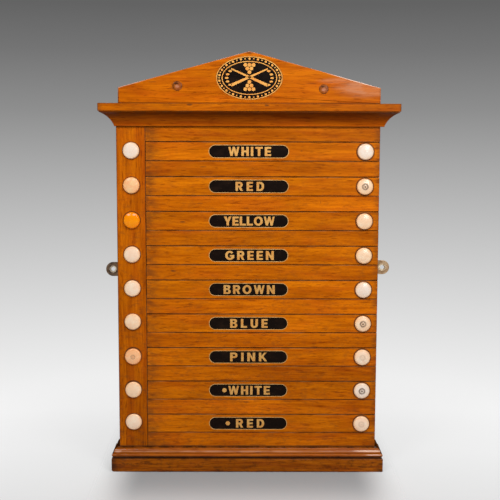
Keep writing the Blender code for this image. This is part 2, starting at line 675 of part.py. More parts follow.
def main():
    """Build the board from the back forwards."""
    clear_scene()
    parts = make_collection("billiard_scoreboard")
    cutters = make_collection("cutters")
    board = add_back_board(parts)
    add_stile(parts, cutters)
    add_rails(parts, cutters)
    add_stop_lath(parts)
    add_slides(parts, cutters)
    add_markers(parts)
    add_base(parts)
    add_cornice(parts)
    add_pediment(parts, cutters)
    add_hanging_plate(-1, "left", -PLATE_STAGGER / 2, board, parts, cutters)
    add_hanging_plate(1, "right", PLATE_STAGGER / 2, board, parts, cutters)


main()
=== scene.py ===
"""Dresses the billiard scoreboard: polished boards, turned discs, gilt names and a studio round them.

Lengths are in metres in the frame's own axes: X runs to the right, Z up, and the front faces -Y. Each
piece keeps its origin at the frame's origin, so a finish's Object coordinates are the piece's real places.
"""

import json
import logging
from dataclasses import dataclass
from enum import Enum
from math import asin, cos, exp, pi, radians, sin, tan, tau
from typing import Callable, Optional, Sequence

import bmesh
import bpy
from mathutils import Matrix, Vector, geometry, noise

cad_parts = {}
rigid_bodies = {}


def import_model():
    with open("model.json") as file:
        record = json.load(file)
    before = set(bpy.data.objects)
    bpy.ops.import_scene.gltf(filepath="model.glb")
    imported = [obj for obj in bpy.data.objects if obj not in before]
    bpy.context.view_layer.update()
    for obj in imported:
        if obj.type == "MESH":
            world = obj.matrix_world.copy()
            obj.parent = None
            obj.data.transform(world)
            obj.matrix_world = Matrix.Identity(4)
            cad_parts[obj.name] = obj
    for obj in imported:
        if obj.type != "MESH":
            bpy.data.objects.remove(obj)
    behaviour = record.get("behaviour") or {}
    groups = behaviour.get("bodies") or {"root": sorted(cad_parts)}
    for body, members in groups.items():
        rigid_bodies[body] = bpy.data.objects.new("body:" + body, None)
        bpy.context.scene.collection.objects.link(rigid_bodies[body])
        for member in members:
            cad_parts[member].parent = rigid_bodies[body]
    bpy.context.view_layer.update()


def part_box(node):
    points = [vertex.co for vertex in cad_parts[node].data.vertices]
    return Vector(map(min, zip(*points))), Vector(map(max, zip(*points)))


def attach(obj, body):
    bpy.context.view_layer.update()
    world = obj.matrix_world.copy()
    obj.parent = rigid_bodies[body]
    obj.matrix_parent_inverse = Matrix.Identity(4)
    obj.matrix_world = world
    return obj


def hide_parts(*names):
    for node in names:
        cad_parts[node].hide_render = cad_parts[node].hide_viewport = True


LOG = logging.getLogger("scoreboard")
MM = 0.001
QUARTER = pi / 2
Two = tuple[float, float]
Three = tuple[float, float, float]
Four = tuple[float, float, float, float]
Colour = Three
Material = bpy.types.Material
Output = bpy.types.NodeSocket
Mesh = bmesh.types.BMesh
Loop = list[Vector]
Loops = list[Loop]


class Grain(Enum):
    """The axis that a board's grain runs along."""

    ACROSS = 0
    DEEP = 1
    UPRIGHT = 2


class Turning(Enum):
    """How the face of a disc is turned."""

    PLAIN = "plain"
    RINGED = "ringed"
    FAINT = "faint"
    PIPPED = "pipped"


@dataclass(frozen=True)
class Box:
    """The lowest and highest corners of a piece."""

    low: Vector
    high: Vector

    @classmethod
    def of(cls, node: str) -> "Box":
        """Return the box of a CAD node."""
        low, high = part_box(node)
        return cls(Vector(low), Vector(high))

    @property
    def centre(self) -> Vector:
        """Middle of the box."""
        return (self.low + self.high) / 2

    @property
    def size(self) -> Vector:
        """Size of the box along each axis."""
        return self.high - self.low

    @property
    def front(self) -> Vector:
        """Middle of the box's front face."""
        return Vector((self.centre.x, self.low.y, self.centre.z))


@dataclass(frozen=True)
class Blemish:
    """A dark mark in a board's face: an oval in X and Z."""

    x: float
    z: float
    across: float
    up: float
    strength: float = 0.6


@dataclass(frozen=True)
class Halo:
    """A painted ring, full close to a round thing and gone at its reach: painted shade round the discs on a
    board, and a painted highlight round the mouth of a plate's hole.

    At a pitch that isn't zero the discs repeat up the board.
    """

    centre: Vector
    radius: float
    pitch: float = 0.0
    reach: float = 2.0 * MM
    full: float = 0.3 * MM
    strength: float = 0.92


@dataclass(frozen=True)
class Soiling:
    """What marks one board, with the light and shade painted on it: how far grime reaches in from its low
    and high sides, which on some boards is painted shade in a hollow, its halo of painted shade, its marks,
    and its painted sheens.

    The painted sheens are pale patches where lamps would shine in the polish, the painted highlights are
    pale places along the arrises, and the seams are how dark the lines along its left, right, bottom and
    top edges are.
    """

    low: Three = (0.0, 0.0, 0.0)
    high: Three = (0.0, 0.0, 0.0)
    # painted shade round the discs
    halo: Optional[Halo] = None
    marks: tuple[Blemish, ...] = ()
    # painted sheens and highlights on the polish
    blooms: tuple[Blemish, ...] = ()
    # painted highlights along the arrises
    worn: tuple[Blemish, ...] = ()
    seams: Four = (0.0, 0.0, 0.0, 0.0)
    seam_reach: float = 1.0 * MM


class NodeSheet:
    """Builds a node tree, a node at a time."""

    def __init__(self, tree: bpy.types.NodeTree) -> None:
        """Take the tree to build in."""
        self.tree = tree

    def add(self, kind: str, inputs: Optional[dict] = None, **settings: object) -> bpy.types.Node:
        """Add a node.

        Args:
            kind: the node's type, without the words ShaderNode.
            inputs: outputs or plain values for its inputs, by their names or numbers.
            settings: the node's properties.

        Returns:
            The node.
        """
        node = self.tree.nodes.new("ShaderNode" + kind)
        for key, value in settings.items():
            setattr(node, key, value)
        for key, value in (inputs or {}).items():
            self.feed(node.inputs[key], value)
        return node

    def feed(self, socket: Output, value: object) -> None:
        """Link a socket to an output, or set its value.

        Args:
            socket: the input.
            value: an output, a number, a vector or a colour of three parts.
        """
        if isinstance(value, bpy.types.NodeSocket):
            self.tree.links.new(value, socket)
        elif socket.type == "RGBA":
            socket.default_value = (*value, 1.0)
        else:
            socket.default_value = value

    def sum(self, operation: str, *values: object) -> Output:
        """Return a Math node's result for one, two or three numbers or outputs."""
        return self.add("Math", dict(enumerate(values)), operation=operation).outputs[0]

    def times(self, first: object, second: object) -> Output:
        """Return the product of two numbers."""
        return self.sum("MULTIPLY", first, second)

    def scaled(self, number: object, factor: object, offset: object) -> Output:
        """Return a number times a factor, plus an offset."""
        return self.sum("MULTIPLY_ADD", number, factor, offset)

    def less(self, number: object, other: object) -> Output:
        """Return a number less another."""
        return self.sum("SUBTRACT", number, other)

    def most(self, first: object, second: object) -> Output:
        """Return the larger of two numbers."""
        return self.sum("MAXIMUM", first, second)

    def vector(self, operation: str, first: object, second: object) -> Output:
        """Return a Vector Math node's vector."""
        return self.add("VectorMath", {0: first, 1: second}, operation=operation).outputs["Vector"]

    def parts(self, value: Output) -> list[Output]:
        """Return a vector's X, Y and Z."""
        return list(self.add("SeparateXYZ", {0: value}).outputs)

    def alike(self, kind: str, value: object) -> Output:
        """Return a number as all parts of a vector, with CombineXYZ, or of a colour, with CombineColor."""
        return self.add(kind, {0: value, 1: value, 2: value}).outputs[0]

    def hypot(self, first: Output, second: Output) -> Output:
        """Return the length of two parts square to each other."""
        return self.sum("SQRT", self.scaled(first, first, self.times(second, second)))

    def grain(self, places: Output, cells: Sequence[float], detail: float, roughness: float = 0.55) -> Output:
        """Return a noise whose cells are stretched along the axes.

        Args:
            places: the coordinates in metres.
            cells: cells to a metre along X, Y and Z.
            detail: octaves of the noise.
            roughness: how strong the finer octaves are.

        Returns:
            The noise from 0 to 1.
        """
        inputs = {"Vector": self.vector("MULTIPLY", places, tuple(cells)), "Scale": 1.0, "Detail": detail,
                  "Roughness": roughness}
        return self.add("TexNoise", inputs, noise_dimensions="3D").outputs["Fac"]

    def spread(self, value: object, low: float, high: float, to_low: float = 0.0,
               to_high: float = 1.0, smooth: bool = True) -> Output:
        """Spread a value's range over another range.

        Args:
            value: the value.
            low: its value that becomes to_low.
            high: its value that becomes to_high.
            to_low: one end of the new range.
            to_high: the other end.
            smooth: whether the change eases in and out.

        Returns:
            The new value, which stays within the new range.
        """
        inputs = {"Value": value, "From Min": low, "From Max": high, "To Min": to_low, "To Max": to_high}
        curve = "SMOOTHSTEP" if smooth else "LINEAR"
        return self.add("MapRange", inputs, interpolation_type=curve).outputs["Result"]

    def mix(self, share: object, first: object, second: object, blend: str = "MIX") -> Output:
        """Return two colours mixed by a share."""
        return self.add("Mix", {0: share, 6: first, 7: second}, data_type="RGBA", blend_type=blend).outputs[2]

    def shade(self, colour: object, level: Output) -> Output:
        """Return a colour times a number."""
        return self.mix(1.0, colour, self.alike("CombineColor", level), "MULTIPLY")

    def stops(self, value: object, colours: Sequence[tuple[float, Colour]]) -> Output:
        """Look a value up in a row of colours.

        Args:
            value: the value, from 0 to 1.
            colours: each stop's place from 0 to 1 and its colour, in order.

        Returns:
            The colour at the value.
        """
        node = self.add("ValToRGB", {"Fac": value})
        elements = node.color_ramp.elements
        for index, (place, colour) in enumerate(colours):
            last = index == len(colours) - 1
            element = elements[0] if index == 0 else elements[-1] if last else elements.new(place)
            element.position, element.color = place, (*colour, 1.0)
        return node.outputs["Color"]


class MaterialSheet(NodeSheet):
    """Builds one node material."""

    def __init__(self, name: str) -> None:
        """Start an empty material.

        Args:
            name: the material's name.
        """
        self.material = bpy.data.materials.new(name)
        self.material.use_nodes = True
        super().__init__(self.material.node_tree)
        self.shader = self.tree.nodes["Principled BSDF"]
        self.own = self.add("TexCoord").outputs["Object"]

    def moved(self, x: float, y: float, z: float) -> Output:
        """Return the piece's own coordinates, moved so that no two pieces have the same figure."""
        return self.vector("ADD", self.own, (x, y, z))

    def bump(self, height: object, strength: float, depth: float) -> None:
        """Raise the surface by a height from 0 to 1, times depth in metres."""
        node = self.add("Bump", {"Strength": strength, "Distance": depth, "Height": height})
        self.feed(self.shader.inputs["Normal"], node.outputs["Normal"])

    def finish(self, colour: object, roughness: object, **scalars: float) -> Material:
        """Connect the shader and return the material.

        Args:
            colour: the base colour.
            roughness: a number or an output.
            scalars: plain numbers for other inputs of the shader, with _ for a space.

        Returns:
            The finished material.
        """
        self.feed(self.shader.inputs["Base Color"], colour)
        self.feed(self.shader.inputs["Roughness"], roughness)
        for name, number in scalars.items():
            self.shader.inputs[name.replace("_", " ")].default_value = number
        return self.material


def cells(grain: Grain, along: float, across: float) -> Three:
    """Return the cells to a metre on each axis for a grain's direction."""
    return tuple(along if axis == grain.value else across for axis in range(3))


@dataclass(frozen=True)
class Figure:
    """Cells to a metre, along and across the grain, of the noises that make up a board's figure."""

    sway: Two = (4.0, 8.0)
    bands: Two = (3.0, 70.0)
    streaks: Two = (20.0, 310.0)
    pores: Two = (85.0, 700.0)
    flecks: Two = (55.0, 400.0)
    cloud: Two = (7.0, 26.0)
    blush: Two = (11.0, 60.0)
    blotches: Two = (30.0, 170.0)
    rubs: Two = (26.0, 60.0)


@dataclass(frozen=True)
class PolishedWood:
    """Straight-grained hardwood under old polish.

    It has streaks, pores, a cloudy tone, grime at the joints, and a thin broken dark film that thickens
    towards the foot of the scoreboard. Some boards also carry painted light: painted shade that darkens them
    towards the foot or the top, rings of painted shade round discs, painted shade in the hollows of the
    mouldings, painted sheens on the polish and painted highlights along the arrises. Gains and losses are
    the shares of the body colour, times the contrast, by which the figure's lightest and deepest parts differ
    from it.
    """

    body: Colour
    # grime, and painted shade in hollows and round discs
    grime: Colour = (0.105, 0.036, 0.011)
    gloss: float = 0.34
    specular: float = 0.035
    coat: float = 0.0
    contrast: float = 1.4
    pore_share: float = 0.72
    grime_share: float = 0.6
    film_share: float = 0.0
    # pale rubbed arrises, which on the gable are painted highlights
    wear_colour: Colour = (0.62, 0.27, 0.10)
    wear_share: float = 0.4
    # the colour of painted sheens and highlights
    bloom_colour: Colour = (0.60, 0.28, 0.15)
    seam_colour: Colour = (0.035, 0.010, 0.003)
    # painted shade: how light the board is at its foot and at its top
    foot_level: float = 1.0
    top_level: float = 1.0
    figure: Figure = Figure()
    gains: Colour = (0.16, 0.25, 0.5)
    losses: Colour = (-0.20, -0.27, -0.3)
    blush_tint: Colour = (0.96, 0.80, 2.5)
    pore_tint: Colour = (0.42, 0.30, 0.25)
    sway_reach: float = 0.022
    relief: float = 0.12 * MM
    wave_cells: Three = (18.0, 18.0, 26.0)
    patch_cells: Three = (60.0, 60.0, 130.0)
    film_cells: Three = (75.0, 75.0, 170.0)
    film_heights: Two = (0.25, -0.30)
    film_levels: Two = (0.45, 1.25)

    def dress(self, name: str, grain: Grain, box: Box, soiling: Soiling, seed: float,
              tone: float = 1.0) -> Material:
        """Make the finish for one board.

        Args:
            name: the material's name.
            grain: the axis that the grain runs along.
            box: the board's box.
            soiling: what soils the board.
            seed: moves the figure.
            tone: how light the board is.

        Returns:
            The material.
        """
        sheet = MaterialSheet(name)
        moved = sheet.moved(seed * 0.731, seed * 1.37, seed * 0.517)
        figure = self.figure
        sway = sheet.grain(moved, cells(grain, *figure.sway), 2.0)
        sway = sheet.scaled(sway, self.sway_reach, -self.sway_reach / 2)
        drift = tuple(0.0 if axis == grain.value else 1.0 for axis in range(3))
        bent = sheet.vector("ADD", moved, sheet.vector("MULTIPLY", sheet.alike("CombineXYZ", sway), drift))
        bands = sheet.grain(bent, cells(grain, *figure.bands), 3.0, 0.6)
        streaks = sheet.grain(bent, cells(grain, *figure.streaks), 3.0, 0.6)
        pores = sheet.spread(sheet.grain(bent, cells(grain, *figure.pores), 2.0), 0.58, 0.72)
        flecks = sheet.spread(sheet.grain(bent, cells(grain, *figure.flecks), 1.0), 0.60, 0.73, 0.0, 0.8)
        cloud = sheet.grain(moved, cells(grain, *figure.cloud), 3.0, 0.6)
        blush = sheet.grain(moved, cells(grain, *figure.blush), 2.0)
        light, deep = (tuple(part * tone * (1 + gain * self.contrast) for part, gain in zip(self.body, gains))
                       for gains in (self.gains, self.losses))
        share = sheet.scaled(sheet.spread(bands, 0.3, 0.7), 0.5,
                             sheet.times(sheet.spread(streaks, 0.34, 0.67), 0.5))
        colour = sheet.mix(share, deep, light)
        colour = sheet.mix(sheet.spread(blush, 0.46, 0.70, 0.0, 0.6), colour, self.blush_tint, "MULTIPLY")
        marks = sheet.most(sheet.times(pores, 0.55), flecks)
        colour = sheet.mix(sheet.times(marks, self.pore_share), colour, self.pore_tint, "MULTIPLY")
        colour = sheet.shade(colour, sheet.spread(cloud, 0.28, 0.72, 0.88, 1.10))
        # painted shade: the colour is scaled from the foot level at the bottom to the top level at the top
        if self.foot_level != self.top_level:
            height = sheet.parts(sheet.own)[2]
            colour = sheet.shade(colour, sheet.spread(height, box.low.z, box.high.z, self.foot_level,
                                                      self.top_level, smooth=False))
        # grime, and painted shade in hollows and round discs
        colour = sheet.mix(self.soil(sheet, box, soiling, streaks), colour, self.grime)
        # painted sheens and highlights on the polish, broken up by blotches
        blotches = sheet.grain(moved, cells(grain, *figure.blotches), 3.0)
        blotches = sheet.spread(blotches, 0.40, 0.60, 0.45, 1.0)
        sheen = sheet.times(self.spots(sheet, soiling.blooms, streaks), blotches)
        colour = sheet.mix(sheen, colour, self.bloom_colour)
        colour = sheet.mix(self.seams(sheet, box, soiling, streaks), colour, self.seam_colour)
        # rubbed arrises, which on the gable are painted highlights
        rubbed = sheet.grain(moved, cells(grain, *figure.rubs), 2.0)
        rubbed = sheet.spread(rubbed, 0.44, 0.66, 0.0, self.wear_share)
        rubbed = sheet.most(rubbed, self.spots(sheet, soiling.worn, streaks))
        rubbed = sheet.times(rubbed, sheet.add("Attribute", attribute_name="wear").outputs["Fac"])
        colour = sheet.mix(rubbed, colour, self.wear_colour)
        rough = sheet.scaled(cloud, 0.16, self.gloss - 0.08)
        rough = sheet.scaled(pores, 0.10, rough)
        waves = sheet.grain(moved, self.wave_cells, 1.0)
        relief = sheet.scaled(streaks, 0.5, sheet.times(marks, -0.7))
        sheet.bump(sheet.scaled(waves, 2.2, relief), 0.35, self.relief)
        return sheet.finish(colour, rough, Specular_IOR_Level=self.specular, Coat_Weight=self.coat,
                            Coat_Roughness=0.12)

    def soil(self, sheet: MaterialSheet, box: Box, soiling: Soiling, streaks: Output) -> Output:
        """Return a mask of the grime on a board, with its painted shade and its dark film.

        Args:
            sheet: the material being made.
            box: the board's box.
            soiling: what soils the board.
            streaks: noise that breaks the mask up along the grain.

        Returns:
            The mask from 0 to 1.
        """
        places = sheet.parts(sheet.own)
        mask: object = 0.0
        sides = zip(places, box.low, box.high, soiling.low, soiling.high)
        for place, low, high, low_reach, high_reach in sides:
            if low_reach:
                mask = sheet.most(mask, sheet.spread(place, low + low_reach, low))
            if high_reach:
                mask = sheet.most(mask, sheet.spread(place, high - high_reach, high))
        patches = sheet.spread(sheet.grain(sheet.own, self.patch_cells, 4.0, 0.65), 0.38, 0.62)
        broken = sheet.scaled(patches, 0.8, sheet.times(streaks, 0.45))
        mask = sheet.times(mask, sheet.times(broken, self.grime_share))
        # painted shade round the discs
        halo = soiling.halo
        if halo:
            across = sheet.less(places[0], halo.centre.x)
            up = sheet.less(places[2], halo.centre.z)
            if halo.pitch:
                up = sheet.sum("WRAP", up, halo.pitch / 2, -halo.pitch / 2)
            ring = sheet.spread(sheet.hypot(across, up), halo.radius + halo.reach, halo.radius + halo.full,
                                0.0, halo.strength)
            mask = sheet.most(mask, ring)
        if self.film_share:
            film = sheet.spread(sheet.grain(sheet.own, self.film_cells, 5.0, 0.72), 0.47, 0.70, 0.0,
                                self.film_share)
            thickness = sheet.spread(places[2], *self.film_heights, *self.film_levels, smooth=False)
            mask = sheet.most(mask, sheet.times(film, thickness))
        return sheet.most(mask, self.spots(sheet, soiling.marks, patches))

    @staticmethod
    def spots(sheet: MaterialSheet, marks: Sequence[Blemish], ragged: Output) -> object:
        """Return a mask of marks with ragged edges.

        Args:
            sheet: the material being made.
            marks: the marks.
            ragged: noise that breaks up their edges.

        Returns:
            The mask from 0 to 1.
        """
        mask: object = 0.0
        places = sheet.parts(sheet.own)
        for mark in marks:
            across = sheet.sum("DIVIDE", sheet.less(places[0], mark.x), mark.across)
            up = sheet.sum("DIVIDE", sheet.less(places[2], mark.z), mark.up)
            away = sheet.scaled(ragged, -0.35, sheet.hypot(across, up))
            mask = sheet.most(mask, sheet.spread(away, 0.9, 0.25, 0.0, mark.strength))
        return mask

    @staticmethod
    def seams(sheet: MaterialSheet, box: Box, soiling: Soiling, streaks: Output) -> object:
        """Return a mask of the dark lines along a board's edges.

        Args:
            sheet: the material being made.
            box: the board's box.
            soiling: what soils the board.
            streaks: noise that breaks the lines up.

        Returns:
            The mask from 0 to 1.
        """
        mask: object = 0.0
        places = sheet.parts(sheet.own)
        edges = ((0, box.low.x, 1), (0, box.high.x, -1), (2, box.low.z, 1), (2, box.high.z, -1))
        for (axis, edge, way), strength in zip(edges, soiling.seams):
            if strength:
                reach = soiling.seam_reach * way
                line = sheet.spread(places[axis], edge + reach, edge + reach * 0.3, 0.0, strength)
                mask = sheet.most(mask, line)
        return sheet.times(mask, sheet.spread(streaks, 0.3, 0.6, 0.75, 1.0))


@dataclass(frozen=True)
class BareWood:
    """Unpolished wood darkened with age, with saw and plane marks."""

    pale: Colour = (0.20, 0.105, 0.052)
    deep: Colour = (0.085, 0.042, 0.022)
    stain_cells: Three = (9.0, 9.0, 9.0)
    saw_cells: Three = (35.0, 35.0, 240.0)

    def dress(self, name: str, grain: Grain, seed: float) -> Material:
        """Make the finish for one board.

        Args:
            name: the material's name.
            grain: the axis that the grain runs along.
            seed: moves the figure.

        Returns:
            The material.
        """
        sheet = MaterialSheet(name)
        moved = sheet.moved(seed * 0.7, seed * 1.9, seed * 0.3)
        figure = sheet.grain(moved, cells(grain, 3.0, 60.0), 5.0, 0.62)
        streaks = sheet.grain(moved, cells(grain, 14.0, 620.0), 3.0)
        stains = sheet.grain(moved, self.stain_cells, 4.0)
        tone = sheet.scaled(sheet.spread(figure, 0.32, 0.68), 0.6, sheet.times(streaks, 0.4))
        colour = sheet.mix(tone, self.deep, self.pale)
        colour = sheet.mix(sheet.spread(stains, 0.52, 0.72, 0.0, 0.6), colour, self.deep)
        saw = sheet.grain(moved, self.saw_cells, 2.0)
        sheet.bump(sheet.scaled(saw, 0.8, streaks), 0.6, 0.3 * MM)
        return sheet.finish(colour, sheet.spread(stains, 0.3, 0.7, 0.62, 0.85), Specular_IOR_Level=0.25)


@dataclass(frozen=True)
class StainedRing:
    """A stained ring on a disc's face, in shares of its radius; dots break it up."""

    middle: float
    half: float
    strength: float
    dots: int = 0


STAINED_RINGS = {
    Turning.PLAIN: (),
    Turning.RINGED: (StainedRing(0.32, 0.15, 1.0, 14), StainedRing(0.0, 0.18, 1.0)),
    Turning.FAINT: (StainedRing(0.30, 0.16, 0.22), StainedRing(0.0, 0.20, 0.18)),
    Turning.PIPPED: (StainedRing(0.22, 0.13, 0.5, 7), StainedRing(0.0, 0.10, 0.5)),
}


@dataclass(frozen=True)
class TurnedBone:
    """Polished bone or ivory: cream with faint figure, fine flecks, and grime in its turned rings.

    A gleam is a pair of painted highlights: paler places in the upper half of the face, where lamps would
    shine in the polish.
    """

    body: Colour
    blush: Colour
    stain: Colour = (0.115, 0.065, 0.038)
    specular: float = 0.45
    coat: float = 0.25
    gleam: float = 0.0
    gleam_colour: Colour = (1.0, 0.92, 0.78)
    gleam_radius: float = 0.34
    gleam_lift: float = 0.71
    gleam_flatness: float = 2.2
    rim_tint: Colour = (1.0, 0.84, 0.66)
    mottle_cells: Three = (150.0, 90.0, 210.0)
    cloud_cells: Three = (55.0, 55.0, 55.0)
    fleck_cells: Three = (900.0, 400.0, 1200.0)

    def dress(self, name: str, centre: Vector, radius: float, turning: Turning, seed: float) -> Material:
        """Make the finish for one disc.

        Args:
            name: the material's name.
            centre: middle of the disc's face.
            radius: the disc's radius.
            turning: how the face is turned.
            seed: moves the flecks.

        Returns:
            The material.
        """
        sheet = MaterialSheet(name)
        moved = sheet.moved(seed, seed * 0.4, seed * 1.7)
        places = sheet.parts(sheet.vector("SUBTRACT", sheet.own, tuple(centre)))
        out = sheet.hypot(places[0], places[2])
        angle = sheet.sum("ARCTAN2", places[2], places[0])
        mottle = sheet.grain(moved, self.mottle_cells, 3.0)
        cloud = sheet.grain(moved, self.cloud_cells, 2.0)
        flecks = sheet.grain(moved, self.fleck_cells, 2.0)
        colour = sheet.mix(sheet.spread(cloud, 0.38, 0.62, 0.0, 0.6), self.body, self.blush)
        colour = sheet.mix(sheet.spread(mottle, 0.42, 0.66, 0.0, 0.7), colour, self.blush)
        colour = sheet.mix(sheet.spread(flecks, 0.64, 0.78, 0.0, 0.35), colour, self.stain)
        rim = sheet.spread(out, radius * 0.62, radius)
        colour = sheet.mix(rim, colour, self.rim_tint, "MULTIPLY")
        # painted highlights
        if self.gleam:
            reach = radius * self.gleam_radius
            for side in (-1, 1):
                aside = sheet.less(places[0], side * reach)
                up = sheet.times(sheet.less(places[2], radius * self.gleam_lift), self.gleam_flatness)
                bright = sheet.spread(sheet.hypot(aside, up), reach, 0.0, 0.0, self.gleam)
                colour = sheet.mix(bright, colour, self.gleam_colour)
        for ring in STAINED_RINGS[turning]:
            away = sheet.sum("ABSOLUTE", sheet.less(out, ring.middle * radius))
            half = ring.half * radius
            mask = sheet.spread(away, half, half * 0.4, 0.0, ring.strength)
            if ring.dots:
                beat = sheet.sum("SINE", sheet.times(angle, float(ring.dots)))
                mask = sheet.times(mask, sheet.spread(beat, -1.0, 0.4, 0.5, 1.0))
            uneven = sheet.times(mask, sheet.spread(mottle, 0.3, 0.6, 0.7, 1.0))
            colour = sheet.mix(uneven, colour, self.stain)
        sheet.bump(sheet.scaled(mottle, 0.7, flecks), 0.12, 0.08 * MM)
        rough = sheet.spread(mottle, 0.3, 0.7, 0.20, 0.32)
        return sheet.finish(colour, rough, Specular_IOR_Level=self.specular, Coat_Weight=self.coat,
                            Coat_Roughness=0.08)


@dataclass(frozen=True)
class Japan:
    """Black japan, a little dusty and scratched."""

    body: Colour = (0.0065, 0.0030, 0.0018)
    dust: Colour = (0.022, 0.010, 0.005)
    specks: Colour = (0.20, 0.10, 0.035)
    haze_cells: Three = (60.0, 60.0, 90.0)
    speck_cells: Three = (700.0, 700.0, 900.0)

    def dress(self, name: str, seed: float) -> Material:
        """Make the finish for one label.

        Args:
            name: the material's name.
            seed: moves the dust.

        Returns:
            The material.
        """
        sheet = MaterialSheet(name)
        moved = sheet.moved(seed, seed, seed * 2.1)
        haze = sheet.grain(moved, self.haze_cells, 4.0)
        specks = sheet.grain(moved, self.speck_cells, 2.0)
        colour = sheet.mix(sheet.spread(haze, 0.45, 0.75, 0.0, 0.5), self.body, self.dust)
        colour = sheet.mix(sheet.spread(specks, 0.70, 0.78, 0.0, 0.4), colour, self.specks)
        sheet.bump(haze, 0.2, 0.05 * MM)
        return sheet.finish(colour, sheet.spread(haze, 0.3, 0.7, 0.34, 0.48), Specular_IOR_Level=0.05)


@dataclass(frozen=True)
class Gilding:
    """Old gold size and leaf, rubbed thin in places so that the black shows."""

    leaf: Colour = (0.84, 0.455, 0.125)
    warm: Colour = (0.78, 0.34, 0.070)
    ground: Colour = (0.16, 0.075, 0.025)
    cloud_cells: Three = (110.0, 110.0, 150.0)
    rub_cells: Three = (420.0, 420.0, 520.0)

    def dress(self, name: str, rub: float, seed: float, tone: float = 1.0) -> Material:
        """Make the finish for one piece of paint.

        Args:
            name: the material's name.
            rub: how much of the leaf is rubbed away, from 0 to 1.
            seed: moves the rubbed places.
            tone: how light the leaf is.

        Returns:
            The material.
        """
        sheet = MaterialSheet(name)
        moved = sheet.moved(seed, seed, seed * 1.3)
        cloud = sheet.grain(moved, self.cloud_cells, 3.0)
        rubs = sheet.grain(moved, self.rub_cells, 3.0)
        colour = sheet.mix(sheet.spread(cloud, 0.36, 0.66), self.leaf, self.warm)
        colour = sheet.mix(1.0, colour, (tone, tone, tone), "MULTIPLY")
        bare = sheet.spread(rubs, 0.72 - 0.2 * rub, 0.86 - 0.2 * rub, 0.0, 0.9)
        colour = sheet.mix(bare, colour, self.ground)
        sheet.bump(rubs, 0.15, 0.06 * MM)
        return sheet.finish(colour, sheet.spread(cloud, 0.3, 0.7, 0.38, 0.52), Metallic=0.1,
                            Specular_IOR_Level=0.2)


@dataclass(frozen=True)
class OldMetal:
    """Tarnished metal, with a painted highlight round the mouth of a hole."""

    bright: Colour
    dull: Colour
    # the colour of the painted highlight round a hole's mouth
    rubbed: Colour = (0.45, 0.42, 0.38)
    roughness: float = 0.38
    patina_cells: Three = (110.0, 110.0, 110.0)
    brushed_cells: Three = (260.0, 260.0, 2600.0)

    def dress(self, name: str, seed: float, worn: Optional[Halo] = None) -> Material:
        """Make the finish for one fitting.

        Args:
            name: the material's name.
            seed: moves the patina.
            worn: a place painted bright as a highlight, from its middle out to its radius.

        Returns:
            The material.
        """
        sheet = MaterialSheet(name)
        moved = sheet.moved(seed, seed * 0.6, seed * 1.1)
        patina = sheet.grain(moved, self.patina_cells, 4.0, 0.6)
        brushed = sheet.grain(moved, self.brushed_cells, 2.0)
        colour = sheet.mix(sheet.spread(patina, 0.38, 0.62), self.dull, self.bright)
        rough = sheet.spread(patina, 0.3, 0.7, self.roughness + 0.14, self.roughness - 0.08)
        # painted highlight round the hole's mouth
        if worn:
            places = sheet.parts(sheet.vector("SUBTRACT", sheet.own, tuple(worn.centre)))
            near = sheet.spread(sheet.hypot(places[0], places[2]), worn.radius + worn.reach, worn.radius)
            colour = sheet.mix(near, colour, self.rubbed)
        sheet.bump(sheet.scaled(patina, 0.6, brushed), 0.2, 0.06 * MM)
        return sheet.finish(colour, rough, Metallic=0.7)


CASE_WOOD = PolishedWood((0.555, 0.127, 0.0010), film_share=0.34)
# painted shade: the stile darkens towards its foot
STILE_WOOD = PolishedWood((0.58, 0.130, 0.0010), film_share=0.42, foot_level=0.68)
SLIDE_WOOD = PolishedWood((0.60, 0.145, 0.0010), film_share=0.30)
# pale pinkish arrises: painted highlights
GABLE_WOOD = PolishedWood((0.58, 0.134, 0.0010), wear_colour=(0.90, 0.68, 0.56), wear_share=0.15)
CORNICE_WOOD = PolishedWood((0.515, 0.118, 0.0010), film_share=0.34, wear_share=0.08)
# painted shade: the cove darkens towards its top, under the cornice
COVE_WOOD = PolishedWood((0.50, 0.102, 0.0010), wear_share=0.0, top_level=0.37)
BASE_WOOD = PolishedWood((0.325, 0.075, 0.0010), (0.035, 0.010, 0.003), gloss=0.28, specular=0.06,
                         coat=0.06, contrast=1.9, grime_share=0.9, film_share=0.55,
                         wear_colour=(0.36, 0.13, 0.05))
# its pale sheen colour is for painted highlights on the ovolo and the bead
MOULDING_WOOD = PolishedWood((0.355, 0.084, 0.0030), (0.016, 0.004, 0.001), gloss=0.22, specular=0.10,
                             coat=0.16, grime_share=1.1, bloom_colour=(0.88, 0.56, 0.40))
# a dark copy of the wood for the mouldings' sides: painted shade
SHADED_RETURN_WOOD = PolishedWood((0.10, 0.026, 0.0015), (0.016, 0.004, 0.001), gloss=0.45, specular=0.0)
# its pale sheen colour is for a painted highlight in the middle of each plug
PLUG_WOOD = PolishedWood((0.35, 0.095, 0.006), (0.06, 0.012, 0.002), gloss=0.28, specular=0.15,
                         contrast=1.8, grime_share=1.1, bloom_colour=(0.66, 0.28, 0.16))
BED_WOOD = BareWood()
IVORY = TurnedBone((0.94, 0.80, 0.68), (0.92, 0.70, 0.54))
CREAM = TurnedBone((0.98, 0.77, 0.57), (0.97, 0.65, 0.45))
HONEY = TurnedBone((0.98, 0.73, 0.50), (0.96, 0.61, 0.37))
PEACH = TurnedBone((0.97, 0.60, 0.29), (0.96, 0.43, 0.19), gleam=0.4)
ROSE = TurnedBone((0.98, 0.57, 0.30), (0.98, 0.46, 0.20))
AMBER = TurnedBone((0.97, 0.330, 0.001), (0.97, 0.26, 0.001), (0.50, 0.12, 0.004), specular=0.0, coat=0.3,
                   gleam=0.45)
